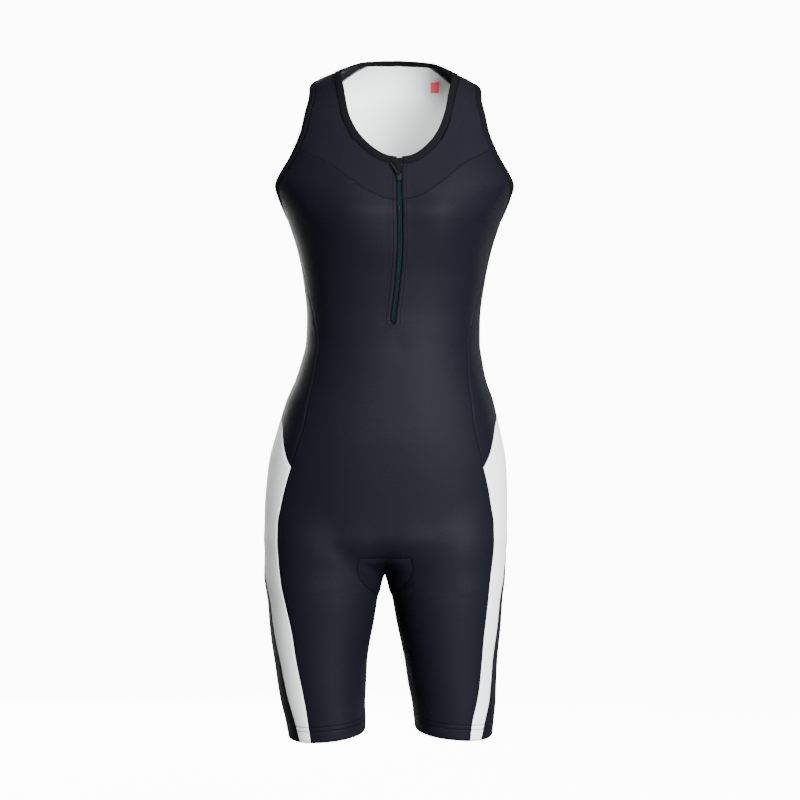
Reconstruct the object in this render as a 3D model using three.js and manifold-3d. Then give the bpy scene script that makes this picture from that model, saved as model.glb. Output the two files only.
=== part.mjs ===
// A sleeveless one-piece triathlon suit in its worn shape, hollow and with no wearer.
// Millimetres, +Z up. The front faces -Y and the wearer's left is +X.
// The origin lies between the shoulders, where the wearer carries the suit.
// Every panel is a thin wall on one closed form, cut along its seams.

import * as THREE from 'three';
import Module from 'manifold-3d';
import { mergeVertices } from 'three/addons/utils/BufferGeometryUtils.js';

// Cloth
const WALL = 1.5;
const SEAM_GAP = 0.32;
const BINDING_WIDTH = 10.5;
const BINDING_LIFT = 0.45;
const BINDING_WALL = 2.4;

// Roundness where the shoulders, the crotch floor and the legs run together
const SHOULDER_ROUND = 48;
const SHOULDER_FALL = 0.37;
const FLOOR_Z = -662.5;
const FLOOR_ROUND = 36;
const LEG_TOP = -545;
const LEG_TOP_ROUND = 30;
const TORSO_POWER = 2.3;
const LEG_POWER = 2.2;
const BLEND = { inside: 34, outside: 8, from: 15, to: 75 };

// Zip
const SLIT_HALF = 3.8;
const SLIT_END = -333;
const COIL_HALF = 3.1;
const COIL_LIFT = 0.5;
const COIL_WALL = 2;
const COIL_TOP = -112;
const COIL_SHORT = 2.5;
const TAPE_INNER = 0.35;
const TAPE_HALF = 11;
const TAPE_SHORT = 2;
const TAPE_WALL = 1;
const LAYER_GAP = 0.6;
const FLAP_WALL = 1.2;

// The label inside the back of the neck, clear of the panel's facets
const LABEL = { low: -8, high: 7, across: [47.5, 53.5, 59.5], inset: 1.25, thickness: 1 };

// Seam levels
const HIP_TOP = -440;
const CORNER_Z = -532;
const CORNER_X = 132;
const SEAT_EDGE = -545;
const SEAT_RISE = 45;
const GUSSET_TOP = -657;
const INSEAM_TOP = -712;
const HEM_Z = -897;
const HEM_SLOPE_Y = 0.17;
const HEM_SLOPE_X = 0.09;
const LEG_AXIS = 85;
const AXIS_SHIFT = { from: 530, to: 650 };
const ROW_DRAW = 560;
const SEAT_LEVELS = { from: 400, to: 655 };
const HEM_TIP = 1.5;
const SHOULDER_TILT = 0.02;
const TWIST_REACH = 130;

// Columns in half of each panel, and rows between the levels
const FRONT_COLUMNS = 9;
const ZIP_COLUMNS = 2;
const NECK_COLUMNS = 2;
const YOKE_COLUMNS = FRONT_COLUMNS + ZIP_COLUMNS;
const BACK_COLUMNS = YOKE_COLUMNS + NECK_COLUMNS;
const GUSSET_COLUMNS = 3;
const SIDE_COLUMNS = 4;
const HIP_COLUMNS = 4;
const ARM_FRONT_ROWS = 8;
const ARM_SIDE_ROWS = 3;
const ARM_BACK_ROWS = 8;
const NECK_ROWS = 11;
const LEG_ROWS = 9;

const rad = THREE.MathUtils.degToRad;
const deg = THREE.MathUtils.radToDeg;
const mix = THREE.MathUtils.lerp;
const smooth = THREE.MathUtils.smoothstep;
const range = (count) => Array.from({ length: count + 1 }, (_, i) => i / count);

// A short table read between its rows along a smooth curve with no overshoot
function sections(names, rows) {
  const sorted = [...rows].sort((a, b) => a[0] - b[0]);
  const at = sorted.map((row) => row[0]);
  const last = at.length - 1;
  const reader = {};
  names.slice(1).forEach((name, index) => {
    const value = sorted.map((row) => row[index + 1]);
    const rise = at.slice(1).map((z, i) => (value[i + 1] - value[i]) / (z - at[i]));
    const slope = at.map((_, i) => {
      if (i === 0) return rise[0];
      if (i === last) return rise[last - 1];
      if (rise[i - 1] * rise[i] <= 0) return 0;
      return (2 * rise[i - 1] * rise[i]) / (rise[i - 1] + rise[i]);
    });
    reader[name] = (z) => {
      if (z <= at[0]) return value[0];
      if (z >= at[last]) return value[last];
      let i = 0;
      while (at[i + 1] < z) i += 1;
      const step = at[i + 1] - at[i];
      const t = (z - at[i]) / step;
      const start = (1 + 2 * t) * (1 - t) ** 2 * value[i] + t * (1 - t) ** 2 * step * slope[i];
      const end = t * t * (3 - 2 * t) * value[i + 1] + t * t * (t - 1) * step * slope[i + 1];
      return start + end;
    };
  });
  return reader;
}

// Torso: height, half width, depth before and behind the side line
const torso = sections(['z', 'half', 'front', 'back'], [
  [60, 140, 62, 78],
  [-20, 143, 66, 82],
  [-60, 145, 80, 88],
  [-100, 156, 93, 92],
  [-142, 171, 104, 93],
  [-163, 161, 108, 92],
  [-184, 151, 112, 90],
  [-205, 143.5, 110, 87],
  [-232, 135, 107, 84],
  [-275, 126, 100, 79],
  [-330, 120, 95, 78],
  [-360, 120.5, 95, 80],
  [-385, 125, 97, 85],
  [-412, 132, 99, 92],
  [-440, 143, 101, 102],
  [-468, 150.7, 103, 111],
  [-495, 157.7, 104, 119],
  [-523, 163.7, 103, 126],
  [-551, 166.2, 101, 130],
  [-592, 168, 97, 128],
  [-648, 166, 92, 117],
  [-700, 160, 88, 105],
]);

// The shoulders' height across the suit, before their edges are rounded
const shoulder = sections(['across', 'height'], [
  [0, 41], [20, 38.5], [41, 32], [58, 25.3], [69, 18.8], [80, 12.8], [92, 8], [107, 3], [130, -5], [200, -31],
]);

// Leg: height, distance of its centre, half width, depth before and behind
const leg = sections(['z', 'centre', 'half', 'front', 'back'], [
  [-545, 84, 62, 66, 84],
  [-600, 84, 76, 82, 104],
  [-640, 84.5, 82.5, 89, 108],
  [-682, 85.2, 81.6, 86, 98],
  [-717, 86.5, 76, 84, 92],
  [-745, 87.9, 72.7, 81, 87],
  [-772, 89.3, 68.5, 78, 82],
  [-800, 90, 64.3, 75, 77],
  [-828, 90, 61.6, 72, 73],
  [-855, 90.3, 58.5, 69, 68],
  [-883, 88.6, 55.4, 66, 64],
  [-920, 87.5, 51.5, 62, 60],
]);

// The stance: how far the middle of the suit leans aside at each height
const stance = sections(['z', 'aside'], [
  [0, 2], [-140, 0.7], [-232, 0.7], [-329, -0.7], [-357, -1.4], [-412, -4.4], [-468, -6.9],
  [-523, -9], [-592, -11.1], [-650, -12], [-690, -13], [-720, -12.4], [-772, -12], [-828, -9.8],
  [-883, -5.8], [-905, -4.8],
]);

// How far the centre front is drawn aside
const twist = sections(['z', 'aside'], [
  [30, 5], [0, 3.5], [-48, 3.3], [-72, 5], [-105, 6.5], [-140, 6.3], [-220, 7.6], [-300, 2.5],
  [-330, -0.7], [-345, 0],
]);

// How far the cloth at the front of the thighs is drawn over to the left
const drawn = sections(['z', 'aside'], [
  [-600, 0], [-660, 2.8], [-690, 3.5], [-717, 5.5], [-772, 7.6], [-828, 7.3], [-855, 5.2], [-883, 1],
  [-900, 0],
]);
const DRAWN = { x: 125, wide: 48, front: 25 };

// Darted fullness of the bust and of the seat
const FULLNESS = {
  bust: { x: 66, z: -190, wide: 46, tall: 52, depth: 10 },
  seat: { x: 75, z: -575, wide: 50, tall: 60, depth: 8 },
};

function fullness({ x, z, wide, tall, depth }, across, height) {
  return depth * Math.exp(-(((across - x) / wide) ** 2) - ((height - z) / tall) ** 2);
}

// Distance to an egg-shaped section, negative inside it
function sectionDistance(x, y, half, depth, power) {
  const u = Math.abs(x) / half;
  const v = Math.abs(y) / depth;
  const size = Math.max((u ** power + v ** power) ** (1 / power), 0.02);
  const slope = Math.hypot(u ** (power - 1) / half, v ** (power - 1) / depth) * size ** (1 - power);
  return (size - 1) / Math.max(slope, 1 / Math.max(half, depth));
}

function roundMax(a, b, radius) {
  return a > -radius && b > -radius ? Math.hypot(a + radius, b + radius) - radius : Math.max(a, b);
}

function softMin(a, b, width) {
  const share = Math.max(width - Math.abs(a - b), 0) / width;
  return Math.min(a, b) - (share * share * width) / 4;
}

// The form that every panel lies on: negative inside, zero on the outer face of the cloth
function form(x, y, z) {
  const across = Math.abs(x);
  const torsoDepth = y < 0
    ? torso.front(z) + fullness(FULLNESS.bust, across, z)
    : torso.back(z) + fullness(FULLNESS.seat, across, z);
  const trunk = sectionDistance(across, y, torso.half(z), torsoDepth, TORSO_POWER);
  const roof = (z - shoulder.height(across)) / Math.hypot(1, SHOULDER_FALL);
  const body = roundMax(roundMax(trunk, roof, SHOULDER_ROUND), FLOOR_Z - z, FLOOR_ROUND);
  if (z > LEG_TOP + 2 * LEG_TOP_ROUND) return body;
  const legDepth = y < 0 ? leg.front(z) : leg.back(z);
  const tube = sectionDistance(across - leg.centre(z), y, leg.half(z), legDepth, LEG_POWER);
  const capped = roundMax(tube, z - LEG_TOP, LEG_TOP_ROUND);
  return softMin(body, capped, mix(BLEND.inside, BLEND.outside, smooth(across, BLEND.from, BLEND.to)));
}

function formNormal(p) {
  const e = 0.2;
  const normal = new THREE.Vector3(
    form(p.x + e, p.y, p.z) - form(p.x - e, p.y, p.z),
    form(p.x, p.y + e, p.z) - form(p.x, p.y - e, p.z),
    form(p.x, p.y, p.z + e) - form(p.x, p.y, p.z - e),
  );
  return normal.normalize();
}

// Moves a point that is near the form onto it
function settle(start) {
  const p = start.clone();
  for (let i = 0; i < 40; i += 1) {
    const distance = form(p.x, p.y, p.z);
    if (Math.abs(distance) < 1e-5) break;
    p.addScaledVector(formNormal(p), -THREE.MathUtils.clamp(distance, -12, 12) * 0.9);
  }
  return p;
}

// First place where a way from inside the form leaves it
function leave(from, along, reach) {
  let inside = 0;
  let outside = reach;
  for (let i = 0; i < 44; i += 1) {
    const middle = (inside + outside) / 2;
    const p = from.clone().addScaledVector(along, middle);
    if (form(p.x, p.y, p.z) < 0) inside = middle;
    else outside = middle;
  }
  return from.clone().addScaledVector(along, inside);
}

const axisOffset = (z) => LEG_AXIS * smooth(-z, AXIS_SHIFT.from, AXIS_SHIFT.to);

// The point of the form at a height and a turn from straight ahead, in degrees.
// A turn of 90 points to the side, 180 to the back and -90 or 270 to the other leg.
function at(z, turn) {
  const axis = axisOffset(z);
  const along = new THREE.Vector3(Math.sin(rad(turn)), -Math.cos(rad(turn)), 0);
  const reach = along.x < -1e-6 ? Math.min(300, (axis / -along.x) * 0.9999) : 300;
  return leave(new THREE.Vector3(axis, 0, z), along, reach);
}

function turnOf(p) {
  const turn = deg(Math.atan2(p.x - axisOffset(p.z), -p.y));
  return turn < -90.001 ? turn + 360 : turn;
}

const inFront = (x, z) => leave(new THREE.Vector3(x, 0, z), new THREE.Vector3(0, -1, 0), 200);
const behind = (x, z) => leave(new THREE.Vector3(x, 0, z), new THREE.Vector3(0, 1, 0), 200);
const turnAtX = (z, x) => turnOf(inFront(x, z));
const turnAtXBehind = (z, x) => turnOf(behind(x, z));

// Openings: the free edge of each binding, and the seam a binding's width away from it
function opening(rows, away) {
  const points = rows.map(([x, y, z]) => settle(new THREE.Vector3(x, y, z)));
  const curve = new THREE.CatmullRomCurve3(points, true, 'centripetal');
  const edge = (index) => settle(curve.getPoint(THREE.MathUtils.euclideanModulo(index / rows.length, 1)));
  const seam = (index) => {
    const here = edge(index);
    const along = edge(index + 0.02).sub(edge(index - 0.02));
    const inward = formNormal(here).cross(along).normalize();
    if (inward.dot(here.clone().sub(away)) < 0) inward.negate();
    return settle(here.addScaledVector(inward, BINDING_WIDTH));
  };
  return { edge, seam };
}

// Armhole: x, y, z, from the shoulder down the front, under the arm and up the back
const ARMHOLE = [
  [117, 8, -3],
  [119, -18, -12],
  [118, -33, -30],
  [125, -42, -64],
  [138, -46, -94],
  [157, -45, -122],
  [164.5, -38, -140],
  [163, -24, -158],
  [156, -5, -174],
  [151, 14, -182],
  [149, 34, -176],
  [147, 48, -158],
  [141, 56, -130],
  [130, 60, -95],
  [121, 58, -60],
  [117, 46, -30],
  [116, 28, -11],
];
const armhole = opening(ARMHOLE, new THREE.Vector3(220, 5, -90));
const ARM = { yoke: 4, under: 9, back: 11, backSeam: 15 };

// Neck: x, y, z of one half, from the centre front to the centre back
const NECK_HALF = [
  [0, -88, -110],
  [18.5, -87, -107],
  [35.5, -82, -96],
  [52.2, -74, -76.5],
  [63.3, -64, -52],
  [67.7, -42, -17],
  [68.5, -20, 2],
  [64, 3, 20],
  [55.5, 26, 26.8],
  [44, 40, 31.5],
  [22, 52, 33],
  [0, 55, 33.5],
];
const NECK_OTHER_HALF = NECK_HALF.slice(1, -1).reverse().map(([x, y, z]) => [-x, y, z]);
const neck = opening([...NECK_HALF, ...NECK_OTHER_HALF], new THREE.Vector3(0, -10, 60));
const NECK = { backSeam: 9.3, backCentre: NECK_HALF.length - 1 };

// Where the neck seam reaches the slit
function neckStart() {
  let low = 0;
  let high = 1;
  for (let i = 0; i < 30; i += 1) {
    const middle = (low + high) / 2;
    if (neck.seam(middle).x < SLIT_HALF) low = middle;
    else high = middle;
  }
  return high;
}
NECK.start = neckStart();

const spread = (from, to, count) => range(count).map((t) => mix(from, to, t));
const trace = (curve, from, to, count) => spread(from, to, count).map((index) => curve(index));

const armFront = trace(armhole.seam, ARM.under, ARM.yoke, ARM_FRONT_ROWS);
const armYoke = trace(armhole.seam, ARM.yoke, ARM.backSeam - ARMHOLE.length, NECK_ROWS);
const armBack = trace(armhole.seam, ARM.back, ARM.backSeam, ARM_BACK_ROWS);
const armSide = trace(armhole.seam, ARM.under, ARM.back, ARM_SIDE_ROWS);
const neckYoke = trace(neck.seam, NECK.start, NECK.backSeam, NECK_ROWS);
const neckBack = trace(neck.seam, NECK.backSeam, NECK.backCentre, NECK_COLUMNS);
const underarm = armSide[0];
const sideTop = armSide[ARM_SIDE_ROWS];

// Seams, as a turn from straight ahead or as a distance from the centre
const turnsOf = (rows) => rows.map(([z, x]) => [z, turnAtX(z, x)]);
const princess = sections(['z', 'turn'], [
  [underarm.z, turnOf(underarm)], [-232, 94],
  ...turnsOf([[-272, 122.5], [-301, 116], [-323, 110], [-354, 104], [-392, 105], [-430, 109.5]]),
  ...turnsOf([[-467, 115.5], [-490, 121], [CORNER_Z, CORNER_X]]),
]);
const sideBack = sections(['z', 'turn'], [
  [sideTop.z, turnOf(sideTop)], [-200, 118], [-250, 125], [-300, 127], [-350, 122], [-400, 112],
  [HIP_TOP, 98], [-455, 90],
  ...turnsOf([[-476, 146.7], [-498, 144], [-515, 140], [-525, 136], [CORNER_Z, CORNER_X]]),
]);
const hipFront = sections(['z', 'x'], [
  [CORNER_Z, CORNER_X], [-560, 139.5], [-590, 145.3], [-608, 148.5], [-634, 149], [-660, 147],
  [-687, 144], [-715, 140], [-762, 132.3], [-800, 127.8], [-838, 121.9], [-888, 112], [-920, 108],
]);
const hipBack = sections(['z', 'turn'], [
  [HIP_TOP, 98], [-500, 106], [SEAT_EDGE, 106], [-580, 95], [-613, 87], [-660, 76], [-715, 66.5],
  [-762, 61.5], [-800, 56.5], [-838, 53], [-888, 43.5], [-920, 37],
]);
const yokeSeam = sections(['x', 'z'], [
  [SLIT_HALF, -167.5], [20, -164.5], [36, -157.5], [61, -141], [91, -117.5],
  [armFront[ARM_FRONT_ROWS].x, armFront[ARM_FRONT_ROWS].z],
]);

// Gusset: height, then half width in front and behind
const gussetEdge = sections(['z', 'front', 'back'], [
  [GUSSET_TOP, 35, 33], [-669, 38, 34], [-682, 35, 31], [-693, 27, 24], [-703, 17, 16],
]);

const levels = (stops) => stops.flatMap(([from, to, count], i) => (
  spread(from, to, count).slice(i ? 1 : 0)
));
const TORSO_LEVELS = levels([
  [underarm.z, SLIT_END, 7],
  [SLIT_END, SLIT_END - 3.5, 1],
  [SLIT_END - 3.5, HIP_TOP, 5],
  [HIP_TOP, CORNER_Z, 5],
  [CORNER_Z, SEAT_EDGE, 1],
  [SEAT_EDGE, GUSSET_TOP, 6],
]);
const GUSSET_LEVELS = [GUSSET_TOP, -669, -682, -693, -703, INSEAM_TOP];

// Turn at the centre plane, or at the slit's edge above its end
function frontInner(z) {
  return z > SLIT_END - 1 ? inFront(SLIT_HALF, z) : inFront(0, z);
}

// A row's turns, drawn towards the gusset's corner as the row nears the gusset
function frontRow(z, outer) {
  const first = frontInner(z);
  const inner = turnOf(first);
  const share = GUSSET_COLUMNS / FRONT_COLUMNS;
  const draw = smooth(-z, ROW_DRAW, -GUSSET_TOP);
  const knot = mix(mix(inner, outer, share), turnAtX(z, gussetEdge.front(z)), draw);
  return range(FRONT_COLUMNS).map((u, j) => {
    if (j === 0) return first;
    const turn = u < share
      ? mix(inner, knot, u / share)
      : mix(knot, outer, (u - share) / (1 - share));
    return at(z, turn);
  });
}

// How much higher than at its sides the back's row lies at its middle
function seatRise(z) {
  if (z > SEAT_EDGE) return SEAT_RISE * smooth(-z, SEAT_LEVELS.from, -SEAT_EDGE);
  return SEAT_RISE * (1 - smooth(-z, -SEAT_EDGE, SEAT_LEVELS.to));
}

function backRow(edgeZ, outer) {
  const share = GUSSET_COLUMNS / BACK_COLUMNS;
  const draw = smooth(-edgeZ, ROW_DRAW, -GUSSET_TOP);
  return range(BACK_COLUMNS).map((v, j) => {
    const z = edgeZ + seatRise(edgeZ) * Math.sin(rad(90 * v)) ** 2;
    if (j === BACK_COLUMNS) return behind(0, z);
    const inner = turnOf(behind(0.001, z));
    const knot = mix(mix(outer, inner, 1 - share), turnAtXBehind(z, gussetEdge.back(z)), draw);
    const turn = v > 1 - share
      ? mix(knot, inner, (v - 1 + share) / share)
      : mix(outer, knot, v / (1 - share));
    return at(z, turn);
  });
}

const sideRow = (z, from, to, count) => range(count).map((u) => at(z, mix(from, to, u)));

// The hem's height round the leg, and a level part of the way down to it
function legLevel(share, turn) {
  const foot = at(HEM_Z, turn);
  const hem = HEM_Z + HEM_SLOPE_Y * foot.y - HEM_SLOPE_X * (foot.x - LEG_AXIS - 3);
  return mix(INSEAM_TOP, hem, share);
}

function legEdge(share, turnAt) {
  let z = mix(INSEAM_TOP, HEM_Z, share);
  for (let i = 0; i < 6; i += 1) z = legLevel(share, turnAt(z));
  return turnAt(z);
}

function legRow(share, from, to, count) {
  return spread(from, to, count).map((turn) => at(legLevel(share, turn), turn));
}

// Fills the space between four edges with points of the form
function fill(bottom, top, left, right) {
  const columns = bottom.length - 1;
  const rows = left.length - 1;
  return range(rows).map((v, i) => range(columns).map((u, j) => {
    if (i === 0) return bottom[j];
    if (i === rows) return top[j];
    if (j === 0) return left[i];
    if (j === columns) return right[i];
    const p = new THREE.Vector3();
    p.addScaledVector(bottom[j], 1 - v).addScaledVector(top[j], v);
    p.addScaledVector(left[i], 1 - u).addScaledVector(right[i], u);
    p.addScaledVector(bottom[0], -(1 - u) * (1 - v)).addScaledVector(bottom[columns], -u * (1 - v));
    p.addScaledVector(top[0], -(1 - u) * v).addScaledVector(top[columns], -u * v);
    return settle(p);
  }));
}

const mirrored = (patch) => patch.map((row) => row.map((p) => new THREE.Vector3(-p.x, p.y, p.z)));

// The worn stance: leans the form aside, draws the centre front over and tips the hems
function stand(p) {
  const near = Math.max(1 - (p.x / TWIST_REACH) ** 2, 0) ** 2;
  const round = mix(smooth(-p.y, -20, 40), 1, smooth(p.z, -80, 0));
  const tip = HEM_TIP * Math.sign(p.x) * smooth(-p.z, -INSEAM_TOP, -HEM_Z);
  const tilt = -SHOULDER_TILT * p.x * smooth(p.z, -100, -10);
  const aside = stance.aside(p.z) + twist.aside(p.z) * near * round;
  return new THREE.Vector3(p.x + aside, p.y, p.z + tip + tilt);
}

// The cloth of the thighs is drawn over along the form, so the left stripe shows narrower
function drawnOver(p) {
  const near = Math.max(1 - ((Math.abs(p.x) - DRAWN.x) / DRAWN.wide) ** 2, 0) ** 2;
  const aside = drawn.aside(p.z) * near * smooth(-p.y, 0, DRAWN.front);
  return aside > 0 ? settle(new THREE.Vector3(p.x + aside, p.y, p.z)) : p;
}

// Turns patches of points into one closed wall, drawn in by half a seam gap all round
function wall(name, patches, material, { lift = 0, thickness = WALL } = {}) {
  const points = [];
  const index = new Map();
  const faces = [];
  const number = (p) => {
    const key = [p.x, p.y, p.z].map((c) => Math.round(c * 200)).join();
    if (!index.has(key)) {
      index.set(key, points.length);
      const q = drawnOver(p);
      points.push({ p: q, normal: formNormal(q) });
    }
    return index.get(key);
  };
  const face = (a, b, c) => {
    if (a === b || b === c || c === a) return;
    const side = points[b].p.clone().sub(points[a].p).cross(points[c].p.clone().sub(points[a].p));
    const out = points[a].normal.clone().add(points[b].normal).add(points[c].normal);
    faces.push(side.dot(out) > 0 ? [a, b, c] : [a, c, b]);
  };
  patches.forEach((patch) => {
    const numbers = patch.map((row) => row.map(number));
    for (let i = 0; i + 1 < numbers.length; i += 1) {
      for (let j = 0; j + 1 < numbers[i].length; j += 1) {
        const [a, b] = numbers[i].slice(j, j + 2);
        const [d, c] = numbers[i + 1].slice(j, j + 2);
        const short = points[a].p.distanceTo(points[c].p) < points[b].p.distanceTo(points[d].p);
        if (short || a === b || c === d) {
          face(a, b, c);
          face(a, c, d);
        } else {
          face(a, b, d);
          face(b, c, d);
        }
      }
    }
  });
  const edges = new Map();
  faces.forEach(([a, b, c]) => [[a, b], [b, c], [c, a]].forEach(([from, to]) => {
    if (!edges.delete(`${to},${from}`)) edges.set(`${from},${to}`, [from, to]);
  }));
  const inward = new Map();
  edges.forEach(([from, to]) => [from, to].forEach((vertex) => {
    const along = points[to].p.clone().sub(points[from].p).normalize();
    const into = points[vertex].normal.clone().cross(along).normalize();
    inward.set(vertex, [...(inward.get(vertex) ?? []), into]);
  }));
  inward.forEach(([first, second], vertex) => {
    const half = first.clone().add(second).normalize();
    const reach = SEAM_GAP / 2 / Math.max(half.dot(first), 0.3);
    points[vertex].moved = points[vertex].p.clone().addScaledVector(half, reach);
  });
  const outer = points.map(({ p, moved, normal }) => (moved ?? p).clone().addScaledVector(normal, lift));
  const inner = outer.map((p, i) => p.clone().addScaledVector(points[i].normal, -thickness));
  const count = points.length;
  const triangles = faces.flatMap(([a, b, c]) => [a, b, c, c + count, b + count, a + count]);
  edges.forEach(([from, to]) => triangles.push(to, from, from + count, to, from + count, to + count));
  const geometry = new THREE.BufferGeometry().setFromPoints([...outer, ...inner].map(stand));
  geometry.setIndex(triangles);
  return piece(name, geometry, material);
}

function piece(name, geometry, material) {
  const mesh = new THREE.Mesh(geometry, material);
  mesh.name = name;
  return mesh;
}

const cloth = (color, roughness) => new THREE.MeshStandardMaterial({ color, roughness, metalness: 0 });
const MATERIALS = {
  black: cloth(0x22222b, 0.45),
  charcoal: cloth(0x2c2c33, 0.7),
  white: cloth(0xd9dcdd, 0.6),
  binding: cloth(0x18181c, 0.8),
  coil: cloth(0x0b2228, 0.5),
  slider: new THREE.MeshStandardMaterial({ color: 0x2a2b30, roughness: 0.35, metalness: 0.6 }),
  label: cloth(0xe62e40, 0.8),
};

// The half patches, on the wearer's left
const frontTorso = TORSO_LEVELS.map((z) => (
  frontRow(z, z >= CORNER_Z - 1e-6 ? princess.turn(z) : turnAtX(z, hipFront.x(z)))
));
const slitPoint = (z) => inFront(SLIT_HALF, z);
const zipEdge = spread(underarm.z, yokeSeam.z(SLIT_HALF), ARM_FRONT_ROWS).map(slitPoint);
const yokeBottom = spread(SLIT_HALF, armFront[ARM_FRONT_ROWS].x, FRONT_COLUMNS).map((x, j) => (
  j === FRONT_COLUMNS ? armFront[ARM_FRONT_ROWS] : inFront(x, yokeSeam.z(x))
));
frontTorso[0][FRONT_COLUMNS] = underarm;
const frontChest = fill(frontTorso[0], yokeBottom, zipEdge, armFront);

const gussetFrontTurn = (z) => (z > INSEAM_TOP + 1 ? turnAtX(z, gussetEdge.front(z)) : -90);
const gussetBackTurn = (z) => (z > INSEAM_TOP + 1 ? turnAtXBehind(z, gussetEdge.back(z)) : 270);
const frontCrotch = GUSSET_LEVELS.map((z) => (
  sideRow(z, gussetFrontTurn(z), turnAtX(z, hipFront.x(z)), FRONT_COLUMNS - GUSSET_COLUMNS)
));
const stripeTurn = (z) => turnAtX(z, hipFront.x(z));
const LEG_SHARES = range(LEG_ROWS);
const frontLeg = LEG_SHARES.map((share) => (
  legRow(share, -90, legEdge(share, stripeTurn), FRONT_COLUMNS - GUSSET_COLUMNS)
));

// Ends of one patch take the points of the next, so that they meet exactly
function join(upper, lower, offset = 0) {
  lower[0] = upper[upper.length - 1].slice(offset, offset + lower[0].length);
}
join(frontTorso, frontCrotch, GUSSET_COLUMNS);
join(frontCrotch, frontLeg);

const sideLevels = TORSO_LEVELS.filter((z) => z >= CORNER_Z - 1e-6);
const sideBody = sideLevels.map((z) => sideRow(z, princess.turn(z), sideBack.turn(z), SIDE_COLUMNS));
sideBody[0][0] = underarm;
const sideShoulder = armSide.map((p) => (
  sideRow(p.z, turnOf(p), sideBack.turn(p.z), SIDE_COLUMNS).map((q, j) => (j === 0 ? p : q))
));
sideShoulder[0] = sideBody[0];
sideShoulder[ARM_SIDE_ROWS] = sideShoulder[ARM_SIDE_ROWS].map(() => sideTop);

const hipLevels = TORSO_LEVELS.filter((z) => z <= HIP_TOP + 1e-6);
const hipInner = (z) => (z > CORNER_Z ? sideBack.turn(z) : stripeTurn(z));
const hipBody = hipLevels.map((z) => sideRow(z, hipInner(z), hipBack.turn(z), HIP_COLUMNS));
const hipCrotch = GUSSET_LEVELS.map((z) => sideRow(z, stripeTurn(z), hipBack.turn(z), HIP_COLUMNS));
const hipLeg = LEG_SHARES.map((share) => (
  legRow(share, legEdge(share, stripeTurn), legEdge(share, hipBack.turn), HIP_COLUMNS)
));
join(hipBody, hipCrotch);
join(hipCrotch, hipLeg);

const backEdgeTurn = (z) => (z > HIP_TOP ? sideBack.turn(z) : hipBack.turn(z));
const backLevels = TORSO_LEVELS.filter((z) => z >= SEAT_EDGE - 1e-6);
const backBody = backLevels.map((z) => backRow(z, backEdgeTurn(z)));
const backRight = [...sideShoulder.map((row) => row[SIDE_COLUMNS]), ...armBack.slice(1)];
const neckCorner = neckYoke[NECK_ROWS];
const armCorner = armYoke[NECK_ROWS];
const backSeam = range(YOKE_COLUMNS).map((t, j) => {
  if (j === 0) return neckCorner;
  if (j === YOKE_COLUMNS) return armCorner;
  return settle(neckCorner.clone().lerp(armCorner, t));
});
const backTop = [...[...backSeam].reverse(), ...neckBack.slice(1)];
backTop[BACK_COLUMNS] = behind(0, neckBack[NECK_COLUMNS].z);
const spineLevels = spread(underarm.z, backTop[BACK_COLUMNS].z, backRight.length - 1);
const backSpine = spineLevels.map((z) => behind(0, z));
backRight[backRight.length - 1] = armCorner;
const backShoulder = fill(backBody[0], backTop, backRight, backSpine);

const seatLevels = TORSO_LEVELS.filter((z) => z <= SEAT_EDGE + 1e-6);
const seatBody = seatLevels.map((z) => backRow(z, hipBack.turn(z)));
seatBody[0] = backBody[backBody.length - 1];
const seatCrotch = GUSSET_LEVELS.map((z) => (
  sideRow(z, hipBack.turn(z), gussetBackTurn(z), BACK_COLUMNS - GUSSET_COLUMNS)
));
const seatLeg = LEG_SHARES.map((share) => (
  legRow(share, legEdge(share, hipBack.turn), 270, BACK_COLUMNS - GUSSET_COLUMNS)
));
join(seatBody, seatCrotch);
join(seatCrotch, seatLeg);

const yokeZip = spread(neckYoke[0].z, yokeSeam.z(SLIT_HALF), ZIP_COLUMNS).map(slitPoint);
const yokeEdge = [neckYoke[0], ...yokeZip.slice(1, -1), ...yokeBottom];
const yoke = fill(yokeEdge, backSeam, neckYoke, armYoke);

// The gusset is laid across the crotch in slices from front to back
const gussetSide = [
  ...frontCrotch.map((row) => row[0]),
  ...[...seatCrotch].reverse().slice(1).map((row) => row[BACK_COLUMNS - GUSSET_COLUMNS]),
];
const gussetFront = frontTorso[frontTorso.length - 1].slice(0, GUSSET_COLUMNS + 1);
const gussetBack = seatBody[seatBody.length - 1].slice(BACK_COLUMNS - GUSSET_COLUMNS).reverse();

function underside(x, y) {
  let inside = LEG_TOP;
  let outside = HEM_Z;
  for (let i = 0; i < 44; i += 1) {
    const middle = (inside + outside) / 2;
    if (form(x, y, middle) < 0) inside = middle;
    else outside = middle;
  }
  return new THREE.Vector3(x, y, inside);
}

function gussetRow(corner, bulge) {
  const steps = 60;
  const profile = range(steps).map((t) => {
    const x = corner.x * Math.sin(rad(90 * t));
    return t === 1 ? corner : underside(x, corner.y + bulge * (1 - t * t));
  });
  const length = [0];
  profile.slice(1).forEach((p, i) => length.push(length[i] + p.distanceTo(profile[i])));
  return range(GUSSET_COLUMNS).map((share) => {
    const goal = share * length[steps];
    const i = Math.max(length.findIndex((value) => value >= goal - 1e-9), 1);
    return profile[i - 1].clone().lerp(profile[i], (goal - length[i - 1]) / (length[i] - length[i - 1]));
  });
}

const gussetMiddle = GUSSET_LEVELS.length - 1;
const gusset = gussetSide.map((corner, i) => {
  if (i === 0) return gussetFront;
  if (i === gussetSide.length - 1) return gussetBack;
  const end = i < gussetMiddle ? gussetFront : gussetBack;
  const near = Math.abs(i - gussetMiddle) / gussetMiddle;
  const row = gussetRow(corner, (end[0].y - end[GUSSET_COLUMNS].y) * near * near);
  row[GUSSET_COLUMNS] = corner;
  return row;
});

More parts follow.
